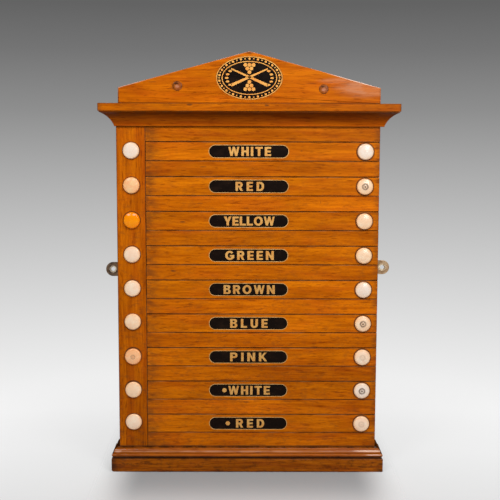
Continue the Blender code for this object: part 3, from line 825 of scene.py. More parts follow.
# the third colour of each plate metal is its painted highlight round a hole's mouth
BRASS = OldMetal((0.62, 0.42, 0.24), (0.34, 0.20, 0.10), (0.95, 0.80, 0.58))
BRONZE = OldMetal((0.24, 0.15, 0.09), (0.070, 0.040, 0.022), (0.95, 0.84, 0.66))
STEEL = OldMetal((0.36, 0.33, 0.30), (0.13, 0.10, 0.08), roughness=0.45)
LETTER_GILT = Gilding()
BORDER_GILT = Gilding((0.92, 0.58, 0.23), (0.76, 0.40, 0.11), (0.36, 0.10, 0.01))
DEVICE_GILT = Gilding((0.86, 0.43, 0.095), (0.80, 0.32, 0.055))
LABEL_BLACK = Japan()


@dataclass(frozen=True)
class Row:
    """One player's row: its name, its marker and knob, and how light its slide and the rail below are."""

    name: str
    word: str
    width: float
    shift: float
    gilt_tone: float
    marker: TurnedBone
    knob: TurnedBone
    slide_tone: float
    rail_tone: float
    marker_turning: Turning = Turning.PLAIN
    knob_turning: Turning = Turning.PLAIN
    spot_gap: float = 0.0
    slide_marks: tuple[Blemish, ...] = ()
    rail_marks: tuple[Blemish, ...] = ()


ROWS = (
    Row("white", "WHITE", 70.0 * MM, 1.5 * MM, 0.96, IVORY, IVORY, 1.07, 0.95,
        slide_marks=(Blemish(0.0874, 0.2000, 0.003, 0.0012),),
        rail_marks=(Blemish(-0.0738, 0.1737, 0.006, 0.0012),)),
    Row("red", "RED", 47.1 * MM, 1.8 * MM, 0.83, PEACH, HONEY, 1.01, 1.16, knob_turning=Turning.RINGED,
        rail_marks=(Blemish(-0.0783, 0.1138, 0.007, 0.0010), Blemish(0.1196, 0.1163, 0.0009, 0.0028, 0.4))),
    Row("yellow", "YELLOW", 83.8 * MM, 1.1 * MM, 0.87, AMBER, HONEY, 0.97, 0.89,
        slide_marks=(Blemish(-0.1069, 0.0830, 0.006, 0.0016, 0.8),)),
    Row("green", "GREEN", 80.5 * MM, 1.6 * MM, 0.89, CREAM, HONEY, 1.02, 0.99,
        rail_marks=(Blemish(-0.1243, 0.0015, 0.006, 0.0018, 0.8),)),
    Row("brown", "BROWN", 85.2 * MM, 1.2 * MM, 0.76, CREAM, IVORY, 1.04, 1.15),
    Row("blue", "BLUE", 62.7 * MM, 1.0 * MM, 0.82, HONEY, HONEY, 1.00, 1.00, knob_turning=Turning.RINGED),
    Row("pink", "PINK", 61.7 * MM, 0.5 * MM, 0.75, ROSE, CREAM, 1.00, 0.90, Turning.PIPPED, Turning.FAINT),
    Row("spot_white", "WHITE", 70.0 * MM, 1.6 * MM, 0.75, HONEY, IVORY, 0.92, 1.0,
        knob_turning=Turning.RINGED, spot_gap=6.5 * MM,
        rail_marks=(Blemish(-0.0007, -0.2214, 0.008, 0.0020, 0.5),)),
    Row("spot_red", "RED", 47.7 * MM, 3.4 * MM, 0.76, CREAM, CREAM, 0.85, 0.91, knob_turning=Turning.FAINT,
        spot_gap=13.8 * MM),
)
TOP_RAIL_TONE = 0.955


@dataclass(frozen=True)
class Corner:
    """A corner of an outline, with the radius that it is rounded to."""

    u: float
    v: float
    radius: float = 0.0


OutlinePoint = tuple[Vector, float]


def rounded_outline(corners: Sequence[Corner], swell: float, steps: int) -> list[OutlinePoint]:
    """Round an outline's corners.

    Args:
        corners: the outline's corners in order.
        swell: factor on every radius.
        steps: parts of each round.

    Returns:
        The points, each with how worn it is: 1 in the middle of a round, and 0 on a flat.
    """
    points: list[OutlinePoint] = []
    for index, corner in enumerate(corners):
        here = Vector((corner.u, corner.v))
        if not corner.radius:
            points.append((here, 0.0))
            continue
        before, after = corners[index - 1], corners[(index + 1) % len(corners)]
        back = (Vector((before.u, before.v)) - here).normalized()
        onward = (Vector((after.u, after.v)) - here).normalized()
        half_angle = back.angle(onward) / 2
        radius = corner.radius * swell
        centre = here + (back + onward).normalized() * (radius / sin(half_angle))
        start = here + back * (radius / tan(half_angle)) - centre
        finish = here + onward * (radius / tan(half_angle)) - centre
        for step in range(steps + 1):
            share = step / steps
            spoke = start.slerp(finish, share) * radius
            points.append((centre + spoke, sin(share * pi)))
    return points


def inset(points: Sequence[OutlinePoint], by: float) -> list[OutlinePoint]:
    """Move an outline's points inwards, square to its sides.

    Args:
        points: the outline.
        by: how far.

    Returns:
        The points in their new places, with their wear.
    """
    if not by:
        return list(points)
    area = sum(points[i - 1][0].cross(points[i][0]) for i in range(len(points)))
    turn = 1.0 if area > 0 else -1.0
    moved = []
    for index, (here, wear) in enumerate(points):
        back = (here - points[index - 1][0]).normalized()
        onward = (points[(index + 1) % len(points)][0] - here).normalized()
        inward = Vector((-(back.y + onward.y), back.x + onward.x)) * turn
        reach = max(inward.length_squared / 2, 0.5)
        moved.append((here + inward * (by / reach), wear))
    return moved


# How the edges of hand work stray: swings to a metre, a level of the noise, and a share
STRAYS = ((55, 0.5, 1.0), (190, 4.5, 0.5))


def prism(corners: Sequence[Corner], length: float, end_round: float, seed: float,
          pitch: float = 9 * MM, uneven: float = 0.3, arc_steps: int = 4, end_steps: int = 3) -> Mesh:
    """Extrude a rounded outline, with rounded ends and slightly uneven edges, as hand work has.

    Args:
        corners: the outline.
        length: the length of the extrusion.
        end_round: radius of the edges at both ends.
        seed: moves the unevenness.
        pitch: distance between the rings of points.
        uneven: how much the radii change along the length.
        arc_steps: parts of each round.
        end_steps: parts of the round at each end.

    Returns:
        The mesh, from 0 to length on its third axis, with its wear on each point.
    """
    stations = []
    for step in range(end_steps + 1):
        angle = QUARTER * step / end_steps
        stations.append((end_round * (1 - cos(angle)), end_round * (1 - sin(angle)), sin(angle * 2)))
    inner = max(2, round((length - 2 * end_round) / pitch))
    for step in range(1, inner):
        stations.append((end_round + (length - 2 * end_round) * step / inner, 0.0, 0.0))
    far_end = reversed(stations[:end_steps + 1])
    stations += [(length - place, drawn_in, wear) for place, drawn_in, wear in far_end]
    bm = bmesh.new()
    worn = bm.verts.layers.float.new("wear")
    rings = []
    for place, drawn_in, end_wear in stations:
        wander = sum(share * noise.noise(Vector((place * swings, seed * 3.1, level)))
                     for swings, level, share in STRAYS)
        points = inset(rounded_outline(corners, 1 + uneven * wander, arc_steps), drawn_in)
        ring = []
        for point, wear in points:
            vert = bm.verts.new((point.x, point.y, place))
            vert[worn] = min(1.0, max(wear, end_wear)) if drawn_in < end_round else 0.0
            ring.append(vert)
        rings.append(ring)
    for low, high in zip(rings, rings[1:]):
        for index in range(len(low)):
            bm.faces.new((low[index - 1], low[index], high[index], high[index - 1]))
    bm.faces.new(rings[0])
    bm.faces.new(list(reversed(rings[-1])))
    return bm


def turned(profile: Sequence[Two], steps: int = 72) -> Mesh:
    """Turn a profile about the third axis.

    Args:
        profile: the radius and height of its points, from the axis and back to it.
        steps: how many points a ring has.

    Returns:
        The mesh.
    """
    bm = bmesh.new()
    rings: list[list[bmesh.types.BMVert]] = []
    for radius, height in profile:
        if radius == 0:
            rings.append([bm.verts.new((0, 0, height))])
            continue
        rings.append([bm.verts.new((radius * cos(tau * i / steps),
                                    radius * sin(tau * i / steps), height)) for i in range(steps)])
    for first, second in zip(rings, rings[1:]):
        for i in range(steps):
            corners = [first[i % len(first)], first[(i + 1) % len(first)],
                       second[(i + 1) % len(second)], second[i % len(second)]]
            bm.faces.new(list(dict.fromkeys(corners)))
    return bm


def arc(centre: Vector, across: float, up: float, start: float, stop: float, steps: int) -> Loop:
    """Return points along an elliptical arc between two angles."""
    angles = [start + (stop - start) * i / steps for i in range(steps + 1)]
    return [centre + Vector((across * cos(a), up * sin(a))) for a in angles]


def oval(centre: Vector, across: float, up: float, steps: int = 24) -> Loop:
    """Return the points of a whole oval."""
    return arc(centre, across, up, 0, tau * (steps - 1) / steps, steps - 1)


def dots(*places: Two) -> Loop:
    """Return the points of an outline."""
    return [Vector(place) for place in places]


# The prism's or turning's own axes, laid along the board's
RUN_ACROSS = Matrix(((0, 0, 1, 0), (1, 0, 0, 0), (0, 1, 0, 0), (0, 0, 0, 1)))
RUN_UP = Matrix.Identity(4)
FACE_FRONT = Matrix(((1, 0, 0, 0), (0, 0, -1, 0), (0, 1, 0, 0), (0, 0, 0, 1)))
FACE_BACK = Matrix(((-1, 0, 0, 0), (0, 0, 1, 0), (0, 1, 0, 0), (0, 0, 0, 1)))
# For a mesh that is already in its place
AS_IT_IS = Matrix.Identity(4)
ORIGIN = Vector((0, 0, 0))
# How far a cutter stands out past what it cuts
OVERRUN = 1 * MM


def laid(bm: Mesh, turn: Matrix, place: Vector) -> Mesh:
    """Return a mesh turned to the board's axes and moved to its place."""
    bmesh.ops.transform(bm, matrix=Matrix.Translation(place) @ turn, verts=bm.verts)
    return bm


def as_block(name: str, bm: Mesh) -> bpy.types.Mesh:
    """Store a mesh.

    Args:
        name: the name of its data.
        bm: the mesh, which is used up.

    Returns:
        The data.
    """
    block = bpy.data.meshes.new(name)
    bm.to_mesh(block)
    bm.free()
    return block


def stood(name: str, data: bpy.types.ID) -> bpy.types.Object:
    """Stand something in the scene.

    Args:
        name: the object's name.
        data: its mesh, curve, lamp or camera.

    Returns:
        The object.
    """
    thing = bpy.data.objects.new(name, data)
    bpy.context.scene.collection.objects.link(thing)
    return thing


def add_piece(name: str, bm: Mesh, turn: Matrix, place: Vector, material: Material,
              body: str = "root", nodes: Sequence[str] = (),
              sharp: float = 40.0) -> bpy.types.Object:
    """Add a piece to the object.

    Args:
        name: the piece's name.
        bm: its mesh, which is used up.
        turn: turns the mesh's axes to the board's.
        place: where the mesh's origin goes.
        material: its finish.
        body: the body that it moves with.
        nodes: the CAD nodes that it stands for.
        sharp: edges with a larger angle than this, in degrees, stay sharp.

    Returns:
        The new object.
    """
    laid(bm, turn, place)
    bmesh.ops.recalc_face_normals(bm, faces=bm.faces)
    mesh = as_block(name, bm)
    mesh.shade_smooth()
    mesh.set_sharp_from_angle(angle=radians(sharp))
    mesh.materials.append(material)
    piece = stood(name, mesh)
    piece.modifiers.new("flat faces stay flat", "WEIGHTED_NORMAL").keep_sharp = True
    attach(piece, body)
    if nodes:
        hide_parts(*nodes)
    LOG.info("%s: %d faces, rides on %s", name, len(mesh.polygons), body)
    return piece


def taken(holder: bpy.types.Object) -> Mesh:
    """Take an object's mesh as its modifiers leave it, and remove the object.

    Args:
        holder: the object.

    Returns:
        The mesh.
    """
    evaluated = holder.evaluated_get(bpy.context.evaluated_depsgraph_get())
    block = bpy.data.meshes.new_from_object(evaluated)
    bm = bmesh.new()
    bm.from_mesh(block)
    bpy.data.objects.remove(holder, do_unlink=True)
    bpy.data.meshes.remove(block)
    return bm


def cut(bm: Mesh, cutters: Sequence[Mesh]) -> Mesh:
    """Cut other meshes out of a mesh.

    Args:
        bm: the mesh, which is used up.
        cutters: what is cut out of it, also used up.

    Returns:
        What is left.
    """
    for cutter in cutters:
        for solid in (bm, cutter):
            bmesh.ops.recalc_face_normals(solid, faces=solid.faces)
        stock, tool = stood("stock", as_block("stock", bm)), stood("tool", as_block("tool", cutter))
        boolean = stock.modifiers.new("cut", "BOOLEAN")
        boolean.operation, boolean.solver, boolean.object = "DIFFERENCE", "EXACT", tool
        bm = taken(stock)
        bpy.data.objects.remove(tool, do_unlink=True)
    return bm


def leaf(bm: Mesh, loops: Loops, thickness: float, shift: Vector = Vector((0, 0))) -> Mesh:
    """Add a thin flat slab to a mesh.

    Args:
        bm: the mesh.
        loops: the slab's outline, and then its openings.
        thickness: how thick it is, up from the third axis's zero.
        shift: moves it.

    Returns:
        The same mesh.
    """
    flat = [[Vector((p.x + shift.x, p.y + shift.y, 0.0)) for p in loop] for loop in loops]
    levels = []
    for height in (0.0, thickness):
        levels.append([bm.verts.new((p.x, p.y, height)) for loop in flat for p in loop])
    for triangle in geometry.tessellate_polygon(flat):
        for level in levels:
            bm.faces.new([level[i] for i in triangle])
    first = 0
    for loop in flat:
        count = len(loop)
        for i in range(count):
            here, after = first + i, first + (i + 1) % count
            bm.faces.new((levels[0][here], levels[0][after], levels[1][after], levels[1][here]))
        first += count
    return bm


def slab(loops: Loops, thickness: float) -> Mesh:
    """Return a new thin flat slab with an outline, and then its openings."""
    return leaf(bmesh.new(), loops, thickness)


def merged(parts: Sequence[Mesh]) -> Mesh:
    """Join several meshes.

    Args:
        parts: the meshes, which are used up.

    Returns:
        One mesh.
    """
    result = bmesh.new()
    for part in parts:
        block = as_block("part", part)
        result.from_mesh(block)
        bpy.data.meshes.remove(block)
    return result


def cut_numeral(text: str, height: float, thickness: float) -> Mesh:
    """Cut a plain numeral.

    Args:
        text: the numeral.
        height: how high it is.
        thickness: how thick it is.

    Returns:
        The mesh, centred.
    """
    curve = bpy.data.curves.new("numeral", "FONT")
    curve.body, curve.resolution_u = text, 6
    curve.extrude, curve.offset = 0.05, 0.02
    bm = taken(stood("numeral", curve))
    bmesh.ops.remove_doubles(bm, verts=bm.verts, dist=0.1 * MM)
    low = Vector([min(v.co[axis] for v in bm.verts) for axis in range(3)])
    high = Vector([max(v.co[axis] for v in bm.verts) for axis in range(3)])
    bmesh.ops.translate(bm, verts=bm.verts, vec=(-(low.x + high.x) / 2, -(low.y + high.y) / 2, -low.z))
    scale = height / (high.y - low.y)
    bmesh.ops.scale(bm, verts=bm.verts, vec=(scale, scale, thickness / (high.z - low.z)))
    return bm


# The letters' widths in shares of their height
WIDTHS = {"W": 1.21, "H": 0.82, "I": 0.275, "T": 0.82, "E": 0.70, "R": 0.82, "D": 0.84, "Y": 0.84, "L": 0.685,
          "O": 1.0, "G": 1.0, "N": 0.885, "B": 0.805, "U": 0.825, "P": 0.825, "K": 0.91}


@dataclass
class SignWriter:
    """Cuts words in plain bold capitals; the strokes are shares of the letters' height."""

    height: float = 14.9 * MM
    thickness: float = 0.12 * MM
    stem_share: float = 0.275
    bar_share: float = 0.205
    slant_share: float = 0.27
    fine_share: float = 0.225
    round_half: float = 0.515
    bowl_middle: float = 0.69
    bowl_half: float = 0.31
    bowl_across: float = 0.30
    steps: int = 12

    def word(self, text: str, width: float) -> Mesh:
        """Cut a word.

        Args:
            text: the word.
            width: what it is spaced out to.

        Returns:
            The mesh, centred.
        """
        wide = [WIDTHS[letter] * self.height for letter in text]
        gap = (width - sum(wide)) / (len(text) - 1)
        bm = bmesh.new()
        left = -width / 2
        for letter, across in zip(text, wide):
            loops = [[point * self.height for point in loop] for loop in self.loops(letter)]
            leaf(bm, loops, self.thickness, Vector((left, -self.height / 2)))
            left += across + gap
        return bm

    def loops(self, letter: str) -> Loops:
        """Draw a letter for a height of 1.

        Args:
            letter: the letter.

        Returns:
            Its outline, and then its holes.
        """
        with_rounds = {"O": self.letter_o, "G": self.letter_g, "U": self.letter_u, "D": self.letter_d,
                       "B": self.letter_b, "P": self.letter_p, "R": self.letter_r}
        return with_rounds[letter]() if letter in with_rounds else [dots(*self.straight(letter))]

    def straight(self, letter: str) -> list[Two]:
        """Draw a letter that has only straight strokes.

        Args:
            letter: the letter.

        Returns:
            Its outline.
        """
        wide = WIDTHS[letter]
        stem, bar, slant = self.stem_share, self.bar_share, self.slant_share
        mid = wide / 2
        low, high = (1 - bar) / 2, (1 + bar) / 2
        if letter == "W":
            foot, fine = wide * 0.285, self.fine_share
            outside, inside = foot - fine / 2, foot + fine / 2
            crotch = 1 - fine / (2 * (mid - foot))
            notch = fine / (mid - fine / 2)
            notch_x = outside + (mid - foot) * notch
            return [(0, 1), (outside, 0), (inside, 0), (mid, crotch), (wide - inside, 0), (wide - outside, 0),
                    (wide, 1), (wide - fine, 1), (wide - notch_x, notch), (mid + fine / 2, 1),
                    (mid - fine / 2, 1), (notch_x, notch), (fine, 1)]
        return {
            "I": [(0, 0), (wide, 0), (wide, 1), (0, 1)],
            "H": [(0, 0), (stem, 0), (stem, low), (wide - stem, low), (wide - stem, 0), (wide, 0), (wide, 1),
                  (wide - stem, 1), (wide - stem, high), (stem, high), (stem, 1), (0, 1)],
            "E": [(0, 0), (wide, 0), (wide, bar), (stem, bar), (stem, low), (wide * 0.93, low),
                  (wide * 0.93, high), (stem, high), (stem, 1 - bar), (wide, 1 - bar), (wide, 1), (0, 1)],
            "L": [(0, 0), (wide, 0), (wide, bar), (stem, bar), (stem, 1), (0, 1)],
            "T": [(mid - stem / 2, 0), (mid + stem / 2, 0), (mid + stem / 2, 1 - bar), (wide, 1 - bar),
                  (wide, 1), (0, 1), (0, 1 - bar), (mid - stem / 2, 1 - bar)],
            "Y": [(mid - stem / 2, 0), (mid + stem / 2, 0), (mid + stem / 2, 0.38), (wide, 1),
                  (wide - slant * 1.15, 1), (mid, 0.60), (slant * 1.15, 1), (0, 1), (mid - stem / 2, 0.38)],
            "N": [(0, 0), (stem, 0), (stem, 0.58), (wide - stem, 0), (wide, 0), (wide, 1), (wide - stem, 1),
                  (wide - stem, 0.42), (stem, 1), (0, 1)],
            "K": [(0, 0), (stem, 0), (stem, 0.30), (stem + 0.08, 0.40), (wide - slant * 1.05, 0), (wide, 0),
                  (stem + 0.24, 0.60), (wide * 0.97, 1), (wide * 0.97 - slant * 1.1, 1), (stem, 0.60),
                  (stem, 1), (0, 1)],
        }[letter]

    def bowl(self, right: float, middle: float, across: float, up: float, start: float = -QUARTER,
             stop: float = QUARTER) -> Loop:
        """Return an arc that bulges to the right, to a right end at a height."""
        return arc(Vector((right - across, middle)), across, up, start, stop, self.steps)

    def letter_o(self) -> Loops:
        """Return the loops of O."""
        middle, half = Vector((WIDTHS["O"] / 2, 0.5)), WIDTHS["O"] / 2
        return [oval(middle, half, self.round_half, 32),
                oval(middle, half - self.stem_share, 0.5 - self.bar_share, 32)]

    def letter_g(self) -> Loops:
        """Draw G.

        Returns:
            Its outline.
        """
        wide, steps = WIDTHS["G"], 2 * self.steps
        middle, opening = Vector((wide / 2, 0.5)), radians(38)
        beard = 0.55 - self.bar_share * 0.85
        outline = arc(middle, wide / 2, self.round_half, opening, tau - opening, steps)
        outline += dots((wide, 0.20), (wide, 0.55), (wide * 0.52, 0.55), (wide * 0.52, beard),
                        (wide - self.stem_share, beard))
        return [outline + arc(middle, wide / 2 - self.stem_share, 0.5 - self.bar_share, tau - opening,
                              opening, steps)]

    def letter_u(self) -> Loops:
        """Draw U.

        Returns:
            Its outline.
        """
        wide, stem, turn = WIDTHS["U"], self.stem_share, 0.36
        middle = Vector((wide / 2, turn))
        outer = arc(middle, wide / 2, turn + 0.015, pi, tau, self.steps)
        inner = arc(middle, wide / 2 - stem, turn - self.bar_share, 0, -pi, self.steps)
        return [dots((0, 1)) + outer + dots((wide, 1), (wide - stem, 1)) + inner + dots((stem, 1))]

    def letter_d(self) -> Loops:
        """Draw D.

        Returns:
            Its outline and its hole.
        """
        wide, stem, bar, bulge = WIDTHS["D"], self.stem_share, self.bar_share, 0.42
        outer = self.bowl(wide, 0.5, bulge, 0.5)
        inner = self.bowl(wide - stem, 0.5, bulge - stem * 0.9, 0.5 - bar)
        return [dots((0, 0)) + outer + dots((0, 1)), dots((stem, bar)) + inner + dots((stem, 1 - bar))]

    def letter_b(self) -> Loops:
        """Draw B.

        Returns:
            Its outline and its two holes.
        """
        wide, stem, bar = WIDTHS["B"], self.stem_share, self.bar_share * 0.88
        waist, narrow = 0.53, wide * 0.95
        outer = self.bowl(wide, waist / 2, 0.28, waist / 2, -QUARTER, QUARTER * 0.85)
        outer += self.bowl(narrow, (1 + waist) / 2, 0.25, (1 - waist) / 2, -QUARTER * 0.85, QUARTER)
        holes = []
        for right, low, high in ((wide, bar, waist - bar * 0.45), (narrow, waist + bar * 0.55, 1 - bar)):
            hole = self.bowl(right - stem, (low + high) / 2, 0.08, (high - low) / 2)
            holes.append(dots((stem, low)) + hole + dots((stem, high)))
        return [dots((0, 0)) + outer + dots((0, 1))] + holes

    def letter_p(self) -> Loops:
        """Return the loops of P."""
        wide, foot = WIDTHS["P"], dots((0, 0), (self.stem_share, 0), (self.stem_share, 0.38))
        return [foot + self.big_bowl(wide) + dots((0, 1)), self.eye(wide)]

    def letter_r(self) -> Loops:
        """Draw R.

        Returns:
            Its outline and its hole.
        """
        wide, stem, slant = WIDTHS["R"], self.stem_share, self.slant_share
        right = wide * 0.965
        foot = dots((0, 0), (stem, 0), (stem, 0.38), (stem + 0.08, 0.38), (wide - slant, 0), (wide, 0),
                    (wide * 0.74, 0.42))
        return [foot + self.big_bowl(right, -QUARTER * 0.62) + dots((0, 1)), self.eye(right)]

    def big_bowl(self, right: float, start: float = -QUARTER) -> Loop:
        """Return the outside of P's or R's bowl."""
        return self.bowl(right, self.bowl_middle, self.bowl_across, self.bowl_half, start)

    def eye(self, right: float) -> Loop:
        """Draw the hole of P or R.

        Args:
            right: where the bowl ends.

        Returns:
            The hole.
        """
        stem, middle, half = self.stem_share, self.bowl_middle, self.bowl_half - self.bar_share
        hole = self.bowl(right - stem * 0.95, middle, 0.07, half)
        return dots((stem, middle - half)) + hole + dots((stem, middle + half))


@dataclass
class Slide:
    """One slat that draws out to the right, with its painted label and its knob."""

    row: Row
    index: int
    easing: float = 1.1 * MM
    end_easing: float = 0.6 * MM
    inner_round: float = 0.3 * MM
    thickness: float = 19.05 * MM
    tongue_thickness: float = 4.8 * MM
    tongue_depth: float = 3.2 * MM
    heel_length: float = 12.0 * MM
    heel_inset: float = 1.0 * MM
    heel_shoulder: float = 5.0 * MM
    handled_end: float = 34.0 * MM
    knob_end: float = 12.0 * MM
    joint_grime: float = 2.0 * MM
    seams: Four = (0.0, 0.45, 0.4, 0.8)
    # the reach of the painted shade round the knob
    halo_reach: float = 2.8 * MM
    halo_full: float = 0.7 * MM
    label_length: float = 129.8 * MM
    label_height: float = 20.0 * MM
    label_centre: float = 1.2 * MM
    border_width: float = 0.8 * MM
    paint: float = 0.12 * MM
    border_paint: float = 0.072 * MM
    border_rub: float = 0.7
    letter_rub: float = 0.3
    spot_radius: float = 3.7 * MM

    @property
    def body(self) -> str:
        """Name of the body that the slide is, and of its CAD node."""
        return "slide_" + self.row.name

    def build(self) -> None:
        """Make the slide, its label and its knob."""
        self.build_board()
        self.build_label()
        Disc(self.row.knob, self.row.knob_turning, self.index + 20).build("knob_" + self.row.name, self.body)

    def build_board(self) -> None:
        """Make the slat with its tongues and its heel."""
        box, name = Box.of(self.body), self.row.name
        half = box.size.z / 2 - self.tongue_depth
        tongue_front = (self.thickness - self.tongue_thickness) / 2
        tongue_back = tongue_front + self.tongue_thickness
        tip = half + self.tongue_depth
        small = self.inner_round
        corners = [
            Corner(0, -half, self.easing), Corner(0, half, self.easing),
            Corner(tongue_front, half), Corner(tongue_front, tip, small),
            Corner(tongue_back, tip, small), Corner(tongue_back, half),
            Corner(self.thickness, half, small), Corner(self.thickness, -half, small),
            Corner(tongue_back, -half), Corner(tongue_back, -tip, small),
            Corner(tongue_front, -tip, small), Corner(tongue_front, -half),
        ]
        seed = self.index + 1.0
        slat = prism(corners, box.size.x, self.end_easing, seed)
        heel_half = half - self.heel_shoulder
        sides = ((self.thickness, -1), (self.thickness, 1), (box.size.y, 1), (box.size.y, -1))
        heel_corners = [Corner(back, side * heel_half, small) for back, side in sides]
        heel = prism(heel_corners, self.heel_length, small, seed)
        bmesh.ops.translate(heel, verts=heel.verts, vec=(0, 0, self.heel_inset))
        face = Box(Vector((box.low.x, box.low.y, box.centre.z - half)),
                   Vector((box.high.x, box.high.y, box.centre.z + half)))
        knob = Box.of("knob_" + name)
        # painted shade round the knob
        halo = Halo(knob.centre, knob.size.x / 2, reach=self.halo_reach, full=self.halo_full)
        soiling = Soiling((self.handled_end, 0, self.joint_grime), (self.knob_end, 0, self.joint_grime), halo,
                          self.row.slide_marks, seams=self.seams)
        wood = SLIDE_WOOD.dress("slide_wood_" + name, Grain.ACROSS, face, soiling, seed, self.row.slide_tone)
        place = Vector((box.low.x, box.low.y, box.centre.z))
        add_piece("slat_" + name, merged([slat, heel]), RUN_ACROSS, place, wood, self.body, [self.body])

    def stadium(self, grow: float, steps: int = 28) -> Loop:
        """Draw the label, a strip with round ends.

        Args:
            grow: how much larger it is all round.
            steps: parts of each round.

        Returns:
            Its outline.
        """
        radius = self.label_height / 2 + grow
        reach = self.label_length / 2 - self.label_height / 2
        right = arc(Vector((reach, 0)), radius, radius, -QUARTER, QUARTER, steps)
        return right + arc(Vector((-reach, 0)), radius, radius, QUARTER, 3 * QUARTER, steps)

    def build_label(self) -> None:
        """Paint the black label with its gilt border and the row's name."""
        box, name, tone = Box.of(self.body), self.row.name, self.row.gilt_tone
        place = Vector((self.label_centre, box.low.y, box.centre.z))
        add_piece("label_" + name, slab([self.stadium(0)], self.paint), FACE_FRONT, place,
                  LABEL_BLACK.dress("label_black_" + name, self.index), self.body)
        border = slab([self.stadium(self.border_width), self.stadium(0)], self.border_paint)
        gilt = BORDER_GILT.dress("border_gilt_" + name, self.border_rub, self.index + 0.4, tone)
        add_piece("label_border_" + name, border, FACE_FRONT, place, gilt, self.body)
        lettering = SignWriter().word(self.row.word, self.row.width)
        if self.row.spot_gap:
            middle = Vector((-self.row.width / 2 - self.row.spot_gap, 0))
            leaf(lettering, [oval(middle, self.spot_radius, self.spot_radius)], self.paint)
        gilt = LETTER_GILT.dress("letter_gilt_" + name, self.letter_rub, self.index * 1.7, tone)
        add_piece("name_" + name, lettering, FACE_FRONT, place + Vector((self.row.shift, -self.paint, 0)),
                  gilt, self.body)


# The grooves of each turning: depth, and middle and width in shares of the disc's radius
GROOVES = {
    Turning.PLAIN: (),
    Turning.RINGED: ((1.0, 0.31, 0.06), (0.9, 0.0, 0.09)),
    Turning.FAINT: ((0.5, 0.30, 0.06),),
    Turning.PIPPED: ((0.6, 0.0, 0.10),),
}
# The round back edge of a disc: shares of its radius and of its height
BACK_EDGE = ((1.0, 0.2), (0.985, 0.08), (0.95, 0.0))


@dataclass
class Disc:
    """A turned disc of bone: a shallow dome with a rounded rim, and a spigot behind it."""

    finish: TurnedBone
    turning: Turning
    seed: float
    dome_share: float = 0.34
    rim_share: float = 0.44
    spigot_radius: float = 4.75 * MM
    spigot_length: float = 10.05 * MM
    seat_gap: float = 0.3 * MM
    groove_depth: float = 0.28 * MM
    face_steps: int = 18
    rim_steps: int = 8

    def profile(self, radius: float, height: float) -> list[Two]:
        """Draw the disc's profile, from the middle of its face out and round to the back.

        Args:
            radius: the disc's radius.
            height: how far it stands out.

        Returns:
            The radius and height of its points.
        """
        rim = height * self.rim_share
        dome = height * self.dome_share
        shoulder = radius - rim
        points: list[Two] = []
        for step in range(self.face_steps + 1):
            out = shoulder * step / self.face_steps
            drop = dome * (out / radius) ** 2
            points.append((out, height - drop - self.groove(out / radius) * self.groove_depth))
        top = points[-1][1]
        for step in range(1, self.rim_steps + 1):
            angle = QUARTER * step / self.rim_steps
            points.append((shoulder + rim * sin(angle), top - rim * (1 - cos(angle))))
        points += [(radius * out, height * up) for out, up in BACK_EDGE]
        end = -(self.spigot_length + self.seat_gap)
        return points + [(self.spigot_radius, 0.0), (self.spigot_radius, end), (0.0, end)]

    def groove(self, share: float) -> float:
        """Return how deep the turned marks are at a share of the radius, from 0 to 1."""
        return sum(deep * exp(-((share - middle) / width) ** 2)
                   for deep, middle, width in GROOVES[self.turning])

    def build(self, node: str, body: str) -> None:
        """Make the disc where the CAD has it.

        Args:
            node: the CAD node that it stands for.
            body: the body that it moves with.
        """
        box = Box.of(node)
        radius = box.size.x / 2
        height = box.size.y - self.spigot_length - self.seat_gap
        face = Vector((box.centre.x, box.low.y + height, box.centre.z))
        bone = self.finish.dress("bone_" + node, box.centre, radius, self.turning, self.seed)
        slot = {PEACH: "peach_bone", ROSE: "peach_bone", AMBER: "amber_bone"}.get(self.finish, "bone")
        add_piece("disc_" + node, turned(self.profile(radius, height)), FACE_FRONT, face, bone, body, [node],
                  sharp=50)


